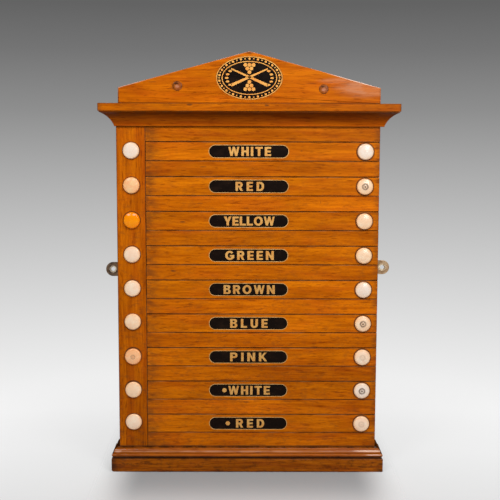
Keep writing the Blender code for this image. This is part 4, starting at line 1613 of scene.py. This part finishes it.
@dataclass
class Case:
    """The back board, the stile, the rails and the stop lath."""

    easing: float = 1.0 * MM
    small: float = 0.3 * MM
    rail_end: float = 0.5 * MM
    slide_thickness: float = 19.05 * MM
    groove_thickness: float = 5.8 * MM
    groove_depth: float = 3.2 * MM
    handled_end: float = 34.0 * MM
    far_end: float = 14.0 * MM
    joint_grime: float = 2.0 * MM
    ring_pitch: float = 30 * MM
    numeral_height: float = 13 * MM
    numeral_thickness: float = 0.1 * MM
    numeral_rub: float = 0.5
    numeral_places: tuple[float, ...] = (20 * MM, 50 * MM, 80 * MM)
    screw_places: tuple[float, ...] = (0.04, 0.36, 0.68, 0.96)
    screw_inset: float = 62 * MM
    foot_joint_lift: float = 0.7 * MM
    foot_joint_across: float = 2.0
    foot_joint_half: float = 1.8 * MM

    def foot_joint(self, strength: float) -> Blemish:
        """Return the line of grime that lies right across the face, just over the base moulding."""
        over_moulding = Box.of("base_moulding_front").high.z + self.foot_joint_lift
        return Blemish(0, over_moulding, self.foot_joint_across, self.foot_joint_half, strength)

    def build(self) -> None:
        """Make the whole case."""
        self.build_stile()
        self.build_rails()
        self.build_back()
        self.build_lath()
        self.paint_numerals()

    def build_stile(self) -> None:
        """Make the upright at the left."""
        box = Box.of("left_stile")
        corners = [Corner(0, 0, self.easing * 1.4), Corner(box.size.x, 0, self.easing * 0.6),
                   Corner(box.size.x, box.size.y, self.small), Corner(0, box.size.y, self.small)]
        # painted shade round each marker
        top, below = Box.of("marker_" + ROWS[0].name), Box.of("marker_" + ROWS[1].name)
        halo = Halo(top.centre, top.size.x / 2, top.centre.z - below.centre.z)
        soiling = Soiling((3 * MM, 0, 25 * MM), (1.5 * MM, 0, 6 * MM), halo, (self.foot_joint(0.8),),
                          seams=(0.6, 0.8, 0.0, 0.7))
        wood = STILE_WOOD.dress("stile_wood", Grain.UPRIGHT, box, soiling, 31)
        add_piece("stile", prism(corners, box.size.z, self.small, 3.3), RUN_UP, box.low, wood,
                  nodes=["left_stile"])

    def build_rails(self) -> None:
        """Make the fixed rails, grooved for the slides' tongues."""
        groove_front = (self.slide_thickness - self.groove_thickness) / 2
        groove_back = groove_front + self.groove_thickness
        rails = [("top_rail", TOP_RAIL_TONE, ())]
        rails += [("rail_below_" + row.name, row.rail_tone, row.rail_marks) for row in ROWS[:-1]]
        rails.append(("bottom_rail", ROWS[-1].rail_tone, (self.foot_joint(0.85),)))
        for index, (name, tone, marks) in enumerate(rails):
            box = Box.of(name)
            height, depth = box.size.z, box.size.y
            corners = [Corner(0, 0, self.easing), Corner(0, height, self.easing)]
            if index:
                floor = height - self.groove_depth
                corners += [Corner(groove_front, height), Corner(groove_front, floor),
                            Corner(groove_back, floor), Corner(groove_back, height)]
            corners += [Corner(depth, height, self.small), Corner(depth, 0, self.small)]
            if index < len(rails) - 1:
                corners += [Corner(groove_back, 0), Corner(groove_back, self.groove_depth),
                            Corner(groove_front, self.groove_depth), Corner(groove_front, 0)]
            soiling = Soiling((self.handled_end, 0, self.joint_grime), (self.far_end, 0, self.joint_grime),
                              marks=marks, seams=(0.0, 0.45, 1.0, 0.5))
            wood = CASE_WOOD.dress("wood_" + name, Grain.ACROSS, box, soiling, 40 + index, tone)
            add_piece("board_" + name, prism(corners, box.size.x, self.rail_end, 50 + index), RUN_ACROSS,
                      box.low, wood, nodes=[name])

    def build_back(self) -> None:
        """Make the back board, with pockets for the hanging plates and a row of screws up each side."""
        box = Box.of("back_board")
        corners = [Corner(0, 0, self.small), Corner(box.size.x, 0, self.small),
                   Corner(box.size.x, box.size.y, self.easing), Corner(0, box.size.y, self.easing)]
        board = laid(prism(corners, box.size.z, self.small, 9.1, self.ring_pitch), RUN_UP, box.low)
        cutters = [HangingPlate(side).pocket() for side in (-1, 1)]
        screw = Screw(radius=4.4 * MM, depth=2.6 * MM, length=5.2 * MM)
        aside = box.size.x / 2 - self.screw_inset
        places = [Vector((side * aside, 0, box.low.z + share * box.size.z))
                  for side in (-1, 1) for share in self.screw_places]
        cutters += [screw.seat(place) for place in places]
        wood = BED_WOOD.dress("back_wood", Grain.UPRIGHT, 2.0)
        add_piece("back", cut(board, cutters), AS_IT_IS, ORIGIN, wood, nodes=["back_board"])
        steel = STEEL.dress("screw_steel", 5.0)
        for number, place in enumerate(places, start=1):
            screw.build(f"back_screw_{number}", place, steel, 0.37 * number)

    def build_lath(self) -> None:
        """Make the upright lath that stops the slides."""
        box = Box.of("stop_lath")
        corners = [Corner(0, 0, self.small), Corner(box.size.x, 0, self.small),
                   Corner(box.size.x, box.size.y), Corner(0, box.size.y)]
        wood = BED_WOOD.dress("lath_wood", Grain.UPRIGHT, 7.0)
        add_piece("lath", prism(corners, box.size.z, self.small, 12.0, self.ring_pitch), RUN_UP, box.low,
                  wood, nodes=["stop_lath"])

    def paint_numerals(self) -> None:
        """Paint a row of numerals on the bed behind each slide, which shows when it is drawn out."""
        bed = Box.of("back_board").low.y
        gilt = LETTER_GILT.dress("numeral_gilt", self.numeral_rub, 3.0)
        for row in ROWS:
            slat = Box.of("slide_" + row.name)
            marks = []
            for number, place in enumerate(self.numeral_places, start=1):
                numeral = cut_numeral(str(number), self.numeral_height, self.numeral_thickness)
                bmesh.ops.translate(numeral, verts=numeral.verts, vec=(slat.low.x + place, slat.centre.z, 0))
                marks.append(numeral)
            add_piece("numerals_" + row.name, merged(marks), FACE_FRONT, Vector((0, bed, 0)), gilt)


@dataclass
class Screw:
    """A slotted countersunk screw, seen from behind the board."""

    radius: float
    depth: float
    length: float
    clearance: float = 0.15 * MM
    sunk: float = 0.12 * MM
    crown: float = 0.15 * MM
    slot_width: float = 1.1 * MM
    slot_depth: float = 0.9 * MM

    def seat(self, place: Vector) -> Mesh:
        """Make the cutter of the countersink that holds the head.

        Args:
            place: where the screw goes in.

        Returns:
            The cutter.
        """
        wide, end = self.radius + self.clearance, -2 * self.depth
        profile = [(0, OVERRUN), (wide, OVERRUN), (wide, 0), (wide * 0.4, -self.depth), (wide * 0.4, end),
                   (0, end)]
        return laid(turned(profile, 32), FACE_BACK, place)

    def build(self, name: str, place: Vector, material: Material, angle: float,
              nodes: Sequence[str] = (), slot: str = "") -> None:
        """Make the screw.

        Args:
            name: the piece's name.
            place: where it goes in.
            material: its finish.
            angle: how far its slot is turned.
            nodes: the CAD nodes that it stands for.
            slot: not used.
        """
        shank = self.radius * 0.36
        head = turned([(0, 0), (self.radius * 0.6, -self.crown * 0.3), (self.radius, -self.crown),
                       (shank, -self.depth), (shank, -self.length * 0.86), (0, -self.length)], 40)
        blade = bmesh.new()
        size = Matrix.Diagonal((3 * self.radius, self.slot_width, 2 * self.slot_depth, 1))
        bmesh.ops.create_cube(blade, size=1.0, matrix=Matrix.Rotation(angle, 4, "Z") @ size)
        add_piece(name, cut(head, [blade]), FACE_BACK, place - Vector((0, self.sunk, 0)), material,
                  nodes=nodes)


@dataclass
class HangingPlate:
    """A brass plate let into the back, with a lug that stands out past the case's side."""

    side: int
    hole_radius: float = 3.5 * MM
    mouth_radius: float = 5.4 * MM
    edge: float = 0.25 * MM
    fit: float = 0.3 * MM
    head_depth: float = 2.2 * MM
    rubbed_reach: float = 0.8 * MM
    steps: int = 24

    @property
    def label(self) -> str:
        """Which of the two plates it is."""
        return "left" if self.side < 0 else "right"

    def outline(self, grow: float) -> Loop:
        """Draw the plate in X and Z: a strip with a round at each end.

        Args:
            grow: how much larger it is all round.

        Returns:
            Its outline.
        """
        box = Box.of("hanging_plate_" + self.label)
        inner, outer = box.size.z / 2, box.size.z / 2 + grow
        right, left = Vector((box.high.x - inner, box.centre.z)), Vector((box.low.x + inner, box.centre.z))
        return (arc(right, outer, outer, -QUARTER, QUARTER, self.steps)
                + arc(left, outer, outer, QUARTER, 3 * QUARTER, self.steps))

    def pocket(self) -> Mesh:
        """Return the cutter of the recess that the plate lies in."""
        depth = Box.of("hanging_plate_" + self.label).size.y + self.fit
        return laid(slab([self.outline(self.fit)], depth + OVERRUN), FACE_FRONT, Vector((0, OVERRUN, 0)))

    def build(self) -> None:
        """Make the plate and its screws."""
        node = "hanging_plate_" + self.label
        box = Box.of(node)
        radius = box.size.z / 2
        corners = [Corner(point.x, point.y) for point in self.outline(0)]
        plate = prism(corners, box.size.y, self.edge, 0.0, pitch=box.size.y, uneven=0.0)
        plate = laid(plate, FACE_FRONT, Vector((0, box.high.y, 0)))
        lug_x = box.low.x + radius if self.side < 0 else box.high.x - radius
        flare, end = self.mouth_radius - self.hole_radius, -box.size.y - OVERRUN
        hole = turned([(0, OVERRUN), (self.mouth_radius + OVERRUN, OVERRUN), (self.hole_radius, -flare),
                       (self.hole_radius, end), (0, end)], 48)
        face = Vector((lug_x, box.low.y, box.centre.z))
        cutters = [laid(hole, FACE_FRONT, face)]
        screws = []
        for number in (1, 2):
            screw_node = f"plate_screw_{self.label}_{number}"
            screw_box = Box.of(screw_node)
            screw = Screw(screw_box.size.x / 2, self.head_depth, screw_box.size.y, sunk=-screw_box.high.y)
            place = Vector((screw_box.centre.x, 0, screw_box.centre.z))
            cutters.append(screw.seat(place))
            screws.append((screw, screw_node, place))
        finish = BRONZE if self.side < 0 else BRASS
        # a painted highlight round the hole's mouth
        rubbed = Halo(face, self.mouth_radius, reach=self.rubbed_reach)
        metal = finish.dress("plate_metal_" + self.label, 3.0 + self.side, rubbed)
        add_piece("plate_" + self.label, cut(plate, cutters), AS_IT_IS, ORIGIN, metal, nodes=[node])
        steel = STEEL.dress("plate_screw_steel_" + self.label, 8.0 + self.side)
        for number, (screw, screw_node, place) in enumerate(screws, start=1):
            screw.build("fixing_" + screw_node, place, steel, 0.6 * number + self.side, [screw_node], "steel")


@dataclass
class Moulding:
    """A moulding round the front and both sides of the case, mitred at the corners."""

    name: str
    slot: str
    profile: Callable[[float], Loop]
    wood: PolishedWood
    soiling: Soiling
    # the sides are dressed darker than the front: painted shade
    return_wood: PolishedWood
    return_tone: float = 1.0
    shift: float = 0.0
    fit: float = 0.3 * MM
    steps: int = 40

    def build(self) -> None:
        """Make the three lengths of the moulding."""
        front = Box.of(self.name + "_front")
        case = Box.of("back_board")
        half = case.size.x / 2
        face = Box.of("left_stile").low.y
        mitre = self.fit / 2
        rows = self.profile(self.fit)
        left, right = ([Vector((self.shift + side * (half + p.x - mitre), face - p.x, front.low.z + p.y))
                        for p in rows] for side in (-1, 1))
        self.add("front", left, right, Grain.ACROSS, 1, self.wood, 1.0)
        for side, label in ((-1, "left"), (1, "right")):
            rows = self.profile(self.fit - side * self.shift)
            near = [Vector((self.shift + side * (half + p.x), face - p.x + mitre, front.low.z + p.y))
                    for p in rows]
            far = [Vector((point.x, 0, point.z)) for point in near]
            self.add(label, near, far, Grain.DEEP, 2 + side, self.return_wood, self.return_tone)

    def add(self, label: str, start: Sequence[Vector], finish: Sequence[Vector], grain: Grain, seed: int,
            wood: PolishedWood, tone: float) -> None:
        """Make one length.

        Args:
            label: which length it is.
            start: the outline at one end.
            finish: the outline at the other end.
            grain: the axis that the grain runs along.
            seed: moves the figure.
            wood: its finish.
            tone: how light it is.
        """
        node = self.name + "_" + label
        bm = bmesh.new()
        bm.verts.layers.float.new("wear")
        rings = []
        for step in range(self.steps + 1):
            share = step / self.steps
            rings.append([bm.verts.new(a.lerp(b, share)) for a, b in zip(start, finish)])
        for low, high in zip(rings, rings[1:]):
            for i in range(len(low)):
                bm.faces.new((low[i - 1], low[i], high[i], high[i - 1]))
        bm.faces.new(rings[0])
        bm.faces.new(list(reversed(rings[-1])))
        material = wood.dress("wood_" + node, grain, Box.of(node), self.soiling, seed * 6.3, tone)
        add_piece(node + "_length", bm, AS_IT_IS, ORIGIN, material, nodes=[node])


@dataclass
class Base:
    """The plinth board and the moulding on it."""

    reach: float = 12.1 * MM
    height: float = 18.0 * MM
    lift: float = 0.3 * MM
    worn_corner: float = 4.2 * MM
    easing: float = 1.2 * MM
    bead_radius: float = 2.7 * MM
    ovolo_start_share: float = 0.18
    ovolo_end_share: float = 0.74
    ovolo_foot_share: float = 0.52
    quirk_share: float = 0.60
    bead_height_share: float = 0.34
    fillet_share: float = 0.72
    curve_steps: int = 16
    ring_pitch: float = 12 * MM

    def profile(self, back: float) -> Loop:
        """Draw the base moulding: ovolo, quirk, bead and fillet.

        Args:
            back: where its back lies.

        Returns:
            Its outline in projection and height.
        """
        top = Vector((self.reach * self.ovolo_start_share, self.height))
        foot = Vector((self.reach * self.ovolo_end_share, self.height * self.ovolo_foot_share))
        lift = self.lift
        points = dots((back, self.height - lift))
        points += arc(Vector((top.x, foot.y - lift)), foot.x - top.x, top.y - foot.y, QUARTER, 0,
                      self.curve_steps)
        bead = Vector((self.reach - self.bead_radius, self.height * self.bead_height_share - lift))
        points += dots((self.reach * self.quirk_share, bead.y + self.bead_radius))
        points += arc(bead, self.bead_radius, self.bead_radius, QUARTER, -QUARTER, self.curve_steps)
        fillet = self.reach * self.fillet_share
        return points + dots((fillet, bead.y - self.bead_radius), (fillet, 0), (back, 0))

    def build(self) -> None:
        """Make the plinth and its moulding."""
        below_bead = self.height * self.bead_height_share
        low = Box.of("base_moulding_front").low.z
        # painted highlights along the ovolo and the bead
        gleams = (Blemish(0, low + 11.8 * MM, 0.35, 1.6 * MM, 0.25),
                  Blemish(0.205, low + 12.3 * MM, 0.036, 1.8 * MM, 0.85),
                  Blemish(0.214, low + 6.8 * MM, 0.018, 1.1 * MM, 0.85),
                  Blemish(-0.218, low + 12.0 * MM, 0.008, 2.2 * MM, 0.6))
        # the dark reach up from the foot and the wide line along the bottom are painted shade under the bead,
        # with some grime
        soiling = Soiling((0, 0, below_bead), (0, 0, 1.4 * MM), blooms=gleams, seams=(0.0, 0.0, 1.0, 0.2),
                          seam_reach=below_bead * 0.62)
        Moulding("base_moulding", "base_wood", self.profile, MOULDING_WOOD, soiling, SHADED_RETURN_WOOD).build()
        box = Box.of("plinth")
        half, height = box.size.x / 2, box.size.z
        corners = [Corner(-half, 0, self.worn_corner), Corner(half, 0, self.easing),
                   Corner(half, height, self.easing), Corner(-half, height, self.easing)]
        soiling = Soiling((30 * MM, 0, 2 * MM), (18 * MM, 0, 0),
                          marks=(Blemish(0.1187, -0.3111, 0.009, 0.0025, 0.4),),
                          seams=(0.4, 0.4, 0.3, 0.35), seam_reach=1.5 * MM)
        wood = BASE_WOOD.dress("plinth_wood", Grain.ACROSS, box, soiling, 77)
        add_piece("plinth_board", prism(corners, box.size.y, self.easing, 4.4, self.ring_pitch), FACE_FRONT,
                  Vector((box.centre.x, box.high.y, box.low.z)), wood, nodes=["plinth"])


@dataclass
class Cornice:
    """The cove and the flat board on it."""

    shift: float = 1.9 * MM
    lip: float = 4.3 * MM
    reach: float = 26.0 * MM
    height: float = 24.0 * MM
    edge: float = 1.2 * MM
    sag: float = 3.3 * MM
    easing: float = 1.1 * MM
    back_easing: float = 0.3 * MM
    cove_steps: int = 20

    def profile(self, back: float) -> Loop:
        """Draw the cove.

        Args:
            back: where its back lies.

        Returns:
            Its outline in projection and height.
        """
        start = Vector((self.lip, self.edge))
        end = Vector((self.reach, self.height - self.edge))
        chord = end - start
        half = chord.length / 2
        radius = (half * half + self.sag * self.sag) / (2 * self.sag)
        left = Vector((-chord.y, chord.x)).normalized()
        centre = (start + end) / 2 + left * (self.sag - radius)
        sweep = asin(half / radius)
        points = dots((back, 0), (self.lip, 0))
        for step in range(self.cove_steps + 1):
            angle = sweep * (1 - 2 * step / self.cove_steps)
            points.append(centre + (left * cos(angle) - chord.normalized() * sin(angle)) * radius)
        return points + dots((self.reach, self.height), (back, self.height))

    def build(self) -> None:
        """Make the cove and the cornice board."""
        # the dark reach down from the top is painted shade under the cornice board
        soiling = Soiling((0, 0, 1 * MM), (0, 0, 10 * MM), seams=(0.0, 0.0, 0.9, 0.0))
        Moulding("cove", "case_wood", self.profile, COVE_WOOD, soiling, COVE_WOOD, return_tone=0.55,
                 shift=self.shift).build()
        box = Box.of("cornice_board")
        corners = [Corner(0, 0, self.easing), Corner(0, box.size.z, self.easing),
                   Corner(box.size.y, box.size.z, self.back_easing), Corner(box.size.y, 0, self.back_easing)]
        marks = (Blemish(-0.0933, 0.2742, 0.006, 0.0022, 0.7), Blemish(0.0300, 0.2730, 0.006, 0.0022, 0.7))
        soiling = Soiling((14 * MM, 0, 1 * MM), (6 * MM, 0, 0), marks=marks, seams=(0.4, 0.3, 0.2, 0.5),
                          seam_reach=2.0 * MM)
        wood = CORNICE_WOOD.dress("cornice_wood", Grain.ACROSS, box, soiling, 88)
        add_piece("cornice", prism(corners, box.size.x, self.easing, 6.6), RUN_ACROSS, box.low, wood,
                  nodes=["cornice_board"])


@dataclass
class Pediment:
    """The gable board with its two plugs and its gilt device."""

    shoulder: float = 26.3 * MM
    easing: float = 1.2 * MM
    foot_easing: float = 0.5 * MM
    apex_round: float = 3.0 * MM
    ring_pitch: float = 12 * MM
    plug_gap: float = 0.2 * MM
    plug_chamfer: float = 0.35 * MM
    plug_steps: int = 48

    def build(self) -> None:
        """Make the board, the plugs and the device."""
        box = Box.of("pediment")
        half, height = box.size.x / 2, box.size.z
        corners = [Corner(-half, 0, self.foot_easing), Corner(half, 0, self.foot_easing),
                   Corner(half, self.shoulder, self.easing), Corner(0, height, self.apex_round),
                   Corner(-half, self.shoulder, self.easing)]
        plugs = {"plug_left": 14.0, "plug_right": 17.5}
        left = Box.of("plug_left").centre
        marks = (Blemish(box.centre.x, box.high.z, 0.010, 0.006, 0.6),
                 Blemish(-0.1595, 0.3123, 0.008, 0.0010, 0.5), Blemish(0.1571, 0.3101, 0.014, 0.0016, 0.35),
                 Blemish(0.1018, 0.3107, 0.012, 0.0013, 0.3), Blemish(left.x, left.z, 0.0125, 0.0088, 0.55))
        # a painted sheen at the right end, and painted highlights along the sloping arrises, brighter at the
        # right
        blooms = (Blemish(0.1950, 0.3030, 0.060, 0.018, 0.6), Blemish(0.1500, 0.3150, 0.040, 0.006, 0.4))
        worn = (Blemish(0.172, 0.312, 0.052, 0.030, 1.0), Blemish(-0.196, 0.308, 0.036, 0.020, 0.5))
        soiling = Soiling((0, 0, 1 * MM), marks=marks, blooms=blooms, worn=worn, seams=(0.2, 0.2, 0.7, 0.0),
                          seam_reach=3.6 * MM)
        wood = GABLE_WOOD.dress("pediment_wood", Grain.ACROSS, box, soiling, 91)
        board = laid(prism(corners, box.size.y, self.easing, 2.2, self.ring_pitch), FACE_FRONT,
                     Vector((box.centre.x, box.high.y, box.low.z)))
        board = cut(board, [self.plug_hole(node) for node in plugs])
        add_piece("gable", board, AS_IT_IS, ORIGIN, wood, nodes=["pediment"])
        for node, seed in plugs.items():
            self.build_plug(node, seed)
        Device().build()

    def plug_hole(self, node: str) -> Mesh:
        """Make the cutter of the hole that a plug is glued into.

        Args:
            node: the plug's CAD node.

        Returns:
            The cutter.
        """
        box = Box.of(node)
        radius, end = box.size.x / 2 + self.plug_gap, -box.size.y - self.plug_gap
        hole = turned([(0, OVERRUN), (radius, OVERRUN), (radius, end), (0, end)], self.plug_steps)
        return laid(hole, FACE_FRONT, box.front)

    def build_plug(self, node: str, seed: float) -> None:
        """Make one plug, level with the gable's face and ringed by a dark joint.

        Args:
            node: the plug's CAD node.
            seed: moves the figure.
        """
        box = Box.of(node)
        radius, length, middle = box.size.x / 2, box.size.y, box.centre
        profile = [(0, 0), (radius * 0.90, 0), (radius, -self.plug_chamfer), (radius, -length), (0, -length)]
        rim = radius * 0.35
        shade = Blemish(middle.x - radius * 0.2, middle.z + radius * 0.55, radius * 0.6, radius * 0.3, 0.9)
        # a painted highlight in the middle of the plug
        sheen = Blemish(middle.x, middle.z - radius * 0.1, radius * 0.6, radius * 0.45, 0.6)
        soiling = Soiling((rim, 0, rim), (rim, 0, rim), marks=(shade,), blooms=(sheen,))
        wood = PLUG_WOOD.dress("wood_" + node, Grain.DEEP, box, soiling, seed)
        add_piece(node + "_end", turned(profile, self.plug_steps), FACE_FRONT, box.front, wood, nodes=[node])


@dataclass
class Device:
    """The painted oval on the gable: gilt rings, a band of beads, crossed cues and racks of balls."""

    across: float = 55.2 * MM
    up: float = 35.8 * MM
    lift: float = 42.3 * MM
    paint: float = 0.12 * MM
    rub: float = 0.3
    steps: int = 96
    rings: tuple[Three, ...] = ((0.993, 0.989, 1.5 * MM), (0.83, 0.77, 1.4 * MM))
    beads: int = 44
    bead_band: Two = (0.905, 0.88)
    bead_radii: Two = (1.2 * MM, 1.95 * MM)
    cue_angle: float = 0.42
    cue_half: float = 33 * MM
    cue_butt: float = 2.4 * MM
    cue_tip: float = 1.1 * MM
    middle_height: float = 1.5 * MM
    balls_across: float = 6.7 * MM
    first_ball: float = 8.0 * MM
    balls_up: float = 5.9 * MM
    ball_radius: float = 3.1 * MM
    leaf_angle: float = 0.56
    leaf_band: Two = (37.5 * MM, 21 * MM)
    leaf_size: Two = (3.0 * MM, 1.7 * MM)

    def build(self) -> None:
        """Paint a plain black oval, and the gilding on it."""
        board = Box.of("pediment")
        centre = Vector((board.centre.x, board.low.y, board.low.z + self.lift))
        middle = Vector((0, 0))
        ground = slab([oval(middle, self.across, self.up, self.steps)], self.paint)
        add_piece("device_ground", ground, FACE_FRONT, centre, LABEL_BLACK.dress("device_black", 12.0))
        gilt = bmesh.new()
        for across_share, up_share, width in self.rings:
            wide, high = self.across * across_share, self.up * up_share
            loops = [oval(middle, wide - inwards, high - inwards, self.steps) for inwards in (0, width)]
            leaf(gilt, loops, self.paint)
        for bead in range(self.beads):
            angle = tau * bead / self.beads
            size = self.bead_radii[bead % 2]
            self.spot(gilt, self.across * self.bead_band[0] * cos(angle),
                      self.up * self.bead_band[1] * sin(angle), size, size)
        for angle in (self.cue_angle, pi - self.cue_angle):
            self.cue(gilt, angle)
        for row in range(3):
            for place in range(row + 1):
                x, y = (place - row / 2) * self.balls_across, self.first_ball + self.balls_up * row
                for side in (1, -1):
                    self.spot(gilt, x, self.middle_height + side * y, self.ball_radius, self.ball_radius)
        for side in (-1, 1):
            for step in range(5):
                angle = self.leaf_angle * (1 - step / 2)
                self.spot(gilt, side * self.leaf_band[0] * cos(angle),
                          self.leaf_band[1] * sin(angle), *self.leaf_size)
        add_piece("device_gilding", gilt, FACE_FRONT, centre - Vector((0, self.paint, 0)),
                  DEVICE_GILT.dress("device_gilt", self.rub, 6.0))

    def cue(self, gilt: Mesh, angle: float) -> None:
        """Add a tapered cue, laid across the device.

        Args:
            gilt: the gilding's mesh.
            angle: how steeply the cue lies.
        """
        long, butt, tip = self.cue_half, self.cue_butt, self.cue_tip
        turn = Matrix.Rotation(angle, 2)
        outline = [turn @ point for point in dots((-long, -butt), (long, -tip), (long, tip), (-long, butt))]
        leaf(gilt, [outline], self.paint, Vector((0, self.middle_height)))

    def spot(self, gilt: Mesh, x: float, y: float, across: float, up: float) -> None:
        """Add a small filled round or oval."""
        leaf(gilt, [oval(Vector((x, y)), across, up)], self.paint)


@dataclass(frozen=True)
class Lamp:
    """A soft box that lights the board."""

    name: str
    place: Vector
    wide: float
    high: float
    power: float

    def hang(self) -> None:
        """Add the lamp, which faces the frame's origin."""
        data = bpy.data.lights.new(self.name, "AREA")
        data.shape = "RECTANGLE"
        data.size, data.size_y, data.energy = self.wide, self.high, self.power
        lamp = stood(self.name, data)
        lamp.location = self.place
        lamp.rotation_euler = (ORIGIN - self.place).to_track_quat("-Z", "Y").to_euler()


@dataclass
class Studio:
    """The floor, the pale surroundings, the lamps and the camera."""

    focal_px: float = 1027.155
    frame_px: float = 500.0
    pitch: float = radians(6.834)
    roll: float = radians(0.173)
    yaw: float = radians(0.3)
    distance: float = 1.700
    aim_across: float = 3.595 * MM
    aim_below: float = 178.28 * MM
    floor_radius: float = 1.6
    floor_gap: float = 0.4 * MM
    floor_colour: Colour = (0.80, 0.80, 0.80)
    # the painted shadow on the floor round the plinth: its colour and its reach
    pool_colour: Colour = (0.388, 0.412, 0.424)
    pool_out: Two = (35 * MM, -55 * MM)
    pool_off: Two = (230 * MM, 30 * MM)
    floor_fade: Two = (0.25, 0.75)
    sensor: float = 36.0
    ambient: float = 0.20
    sky_span: Two = (-0.45, 0.15)
    sky: tuple[Two, ...] = ((-0.35, 0.76), (-0.30, 0.90), (-0.265, 0.92), (-0.205, 0.785), (-0.13, 0.61),
                            (-0.07, 0.47), (0.016, 0.27), (0.073, 0.174), (0.115, 0.125))
    lamps: tuple[Lamp, ...] = (
        Lamp("left_box", Vector((-0.62, -1.25, 1.05)), 0.42, 0.42, 10.0),
        Lamp("right_box", Vector((0.70, -1.15, 1.05)), 0.42, 0.42, 9.0),
        Lamp("front_panel", Vector((0.60, -1.74, 0.62)), 0.50, 0.60, 9.0),
        Lamp("overhead", Vector((0.20, -0.30, 1.30)), 0.60, 0.30, 3.0),
        Lamp("behind", Vector((0.10, 1.70, 0.90)), 1.0, 1.0, 12.0),
    )

    def build(self) -> None:
        """Set up the whole studio."""
        bpy.context.scene.view_settings.view_transform = "Standard"
        self.build_camera()
        self.build_floor()
        self.build_world()
        for lamp in self.lamps:
            lamp.hang()

    def build_camera(self) -> None:
        """Place the camera that the photograph was fitted to."""
        face = Box.of("left_stile").low.y
        aim = Vector((self.aim_across, face, Box.of("top_rail").low.z - self.aim_below))
        ahead = Vector((sin(self.yaw) * cos(self.pitch), cos(self.yaw) * cos(self.pitch), -sin(self.pitch)))
        level = Vector((cos(self.yaw), -sin(self.yaw), 0))
        upright = level.cross(ahead)
        right = level * cos(self.roll) + upright * sin(self.roll)
        top = upright * cos(self.roll) - level * sin(self.roll)
        data = bpy.data.cameras.new("camera")
        data.sensor_fit = "HORIZONTAL"
        data.sensor_width = self.sensor
        data.lens = self.sensor * self.focal_px / self.frame_px
        camera = stood("camera", data)
        columns = (right, top, -ahead, aim - ahead * self.distance)
        rows = [[column[row] for column in columns] for row in range(3)]
        camera.matrix_world = Matrix(rows + [[0, 0, 0, 1]])
        bpy.context.scene.camera = camera

    def build_floor(self) -> None:
        """Lay a pale round floor under the plinth, with a painted shadow close to it, which fades into the
        surroundings.
        """
        bm = bmesh.new()
        bmesh.ops.create_circle(bm, cap_ends=True, segments=96, radius=self.floor_radius)
        floor = stood("floor", as_block("floor", bm))
        box = Box.of("plinth")
        floor.location = (0, 0, box.low.z - self.floor_gap)
        sheet = MaterialSheet("floor")
        places = sheet.parts(sheet.own)
        fade = sheet.spread(sheet.hypot(places[0], places[1]), *self.floor_fade, 1.0, 0.0)
        # a painted shadow: the floor darkens close to the plinth
        aside = sheet.sum("ABSOLUTE", sheet.less(places[0], box.centre.x))
        under = sheet.spread(aside, *(box.size.x / 2 + out for out in self.pool_out))
        off = sheet.less(sheet.sum("ABSOLUTE", sheet.less(places[1], box.centre.y)), box.size.y / 2)
        pool = sheet.times(under, sheet.spread(off, *self.pool_off))
        sheet.finish(sheet.mix(pool, self.floor_colour, self.pool_colour), 0.9, Specular_IOR_Level=0.0)
        solid = sheet.scaled(under, 0.75, 0.25)
        sheet.feed(sheet.shader.inputs["Alpha"], sheet.times(fade, solid))
        floor.data.materials.append(sheet.material)

    def build_world(self) -> None:
        """Surround the board with pale grey, lighter towards the floor, and light it softly."""
        world = bpy.data.worlds.new("surroundings")
        bpy.context.scene.world = world
        world.use_nodes = True
        sheet = NodeSheet(world.node_tree)
        height = sheet.parts(sheet.add("TexCoord").outputs["Generated"])[2]
        low, high = self.sky_span
        stops = [((place - low) / (high - low), (level, level, level)) for place, level in self.sky]
        pale = sheet.stops(sheet.spread(height, low, high, smooth=False), stops)
        path = sheet.add("LightPath").outputs
        seen = sheet.most(path["Is Camera Ray"],
                          sheet.most(path["Is Glossy Ray"], path["Is Transmission Ray"]))
        colour = sheet.mix(seen, (self.ambient, self.ambient, self.ambient), pale)
        sheet.feed(sheet.tree.nodes["Background"].inputs["Color"], colour)


def main() -> None:
    """Dress the whole board."""
    logging.basicConfig(level=logging.INFO, format="%(message)s")
    for thing in list(bpy.data.objects):
        bpy.data.objects.remove(thing, do_unlink=True)
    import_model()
    Studio().build()
    Case().build()
    for index, row in enumerate(ROWS):
        Slide(row, index).build()
        Disc(row.marker, row.marker_turning, index + 1.0).build("marker_" + row.name, "root")
    Base().build()
    Cornice().build()
    Pediment().build()
    for side in (-1, 1):
        HangingPlate(side).build()


if __name__ == "__main__":
    main()
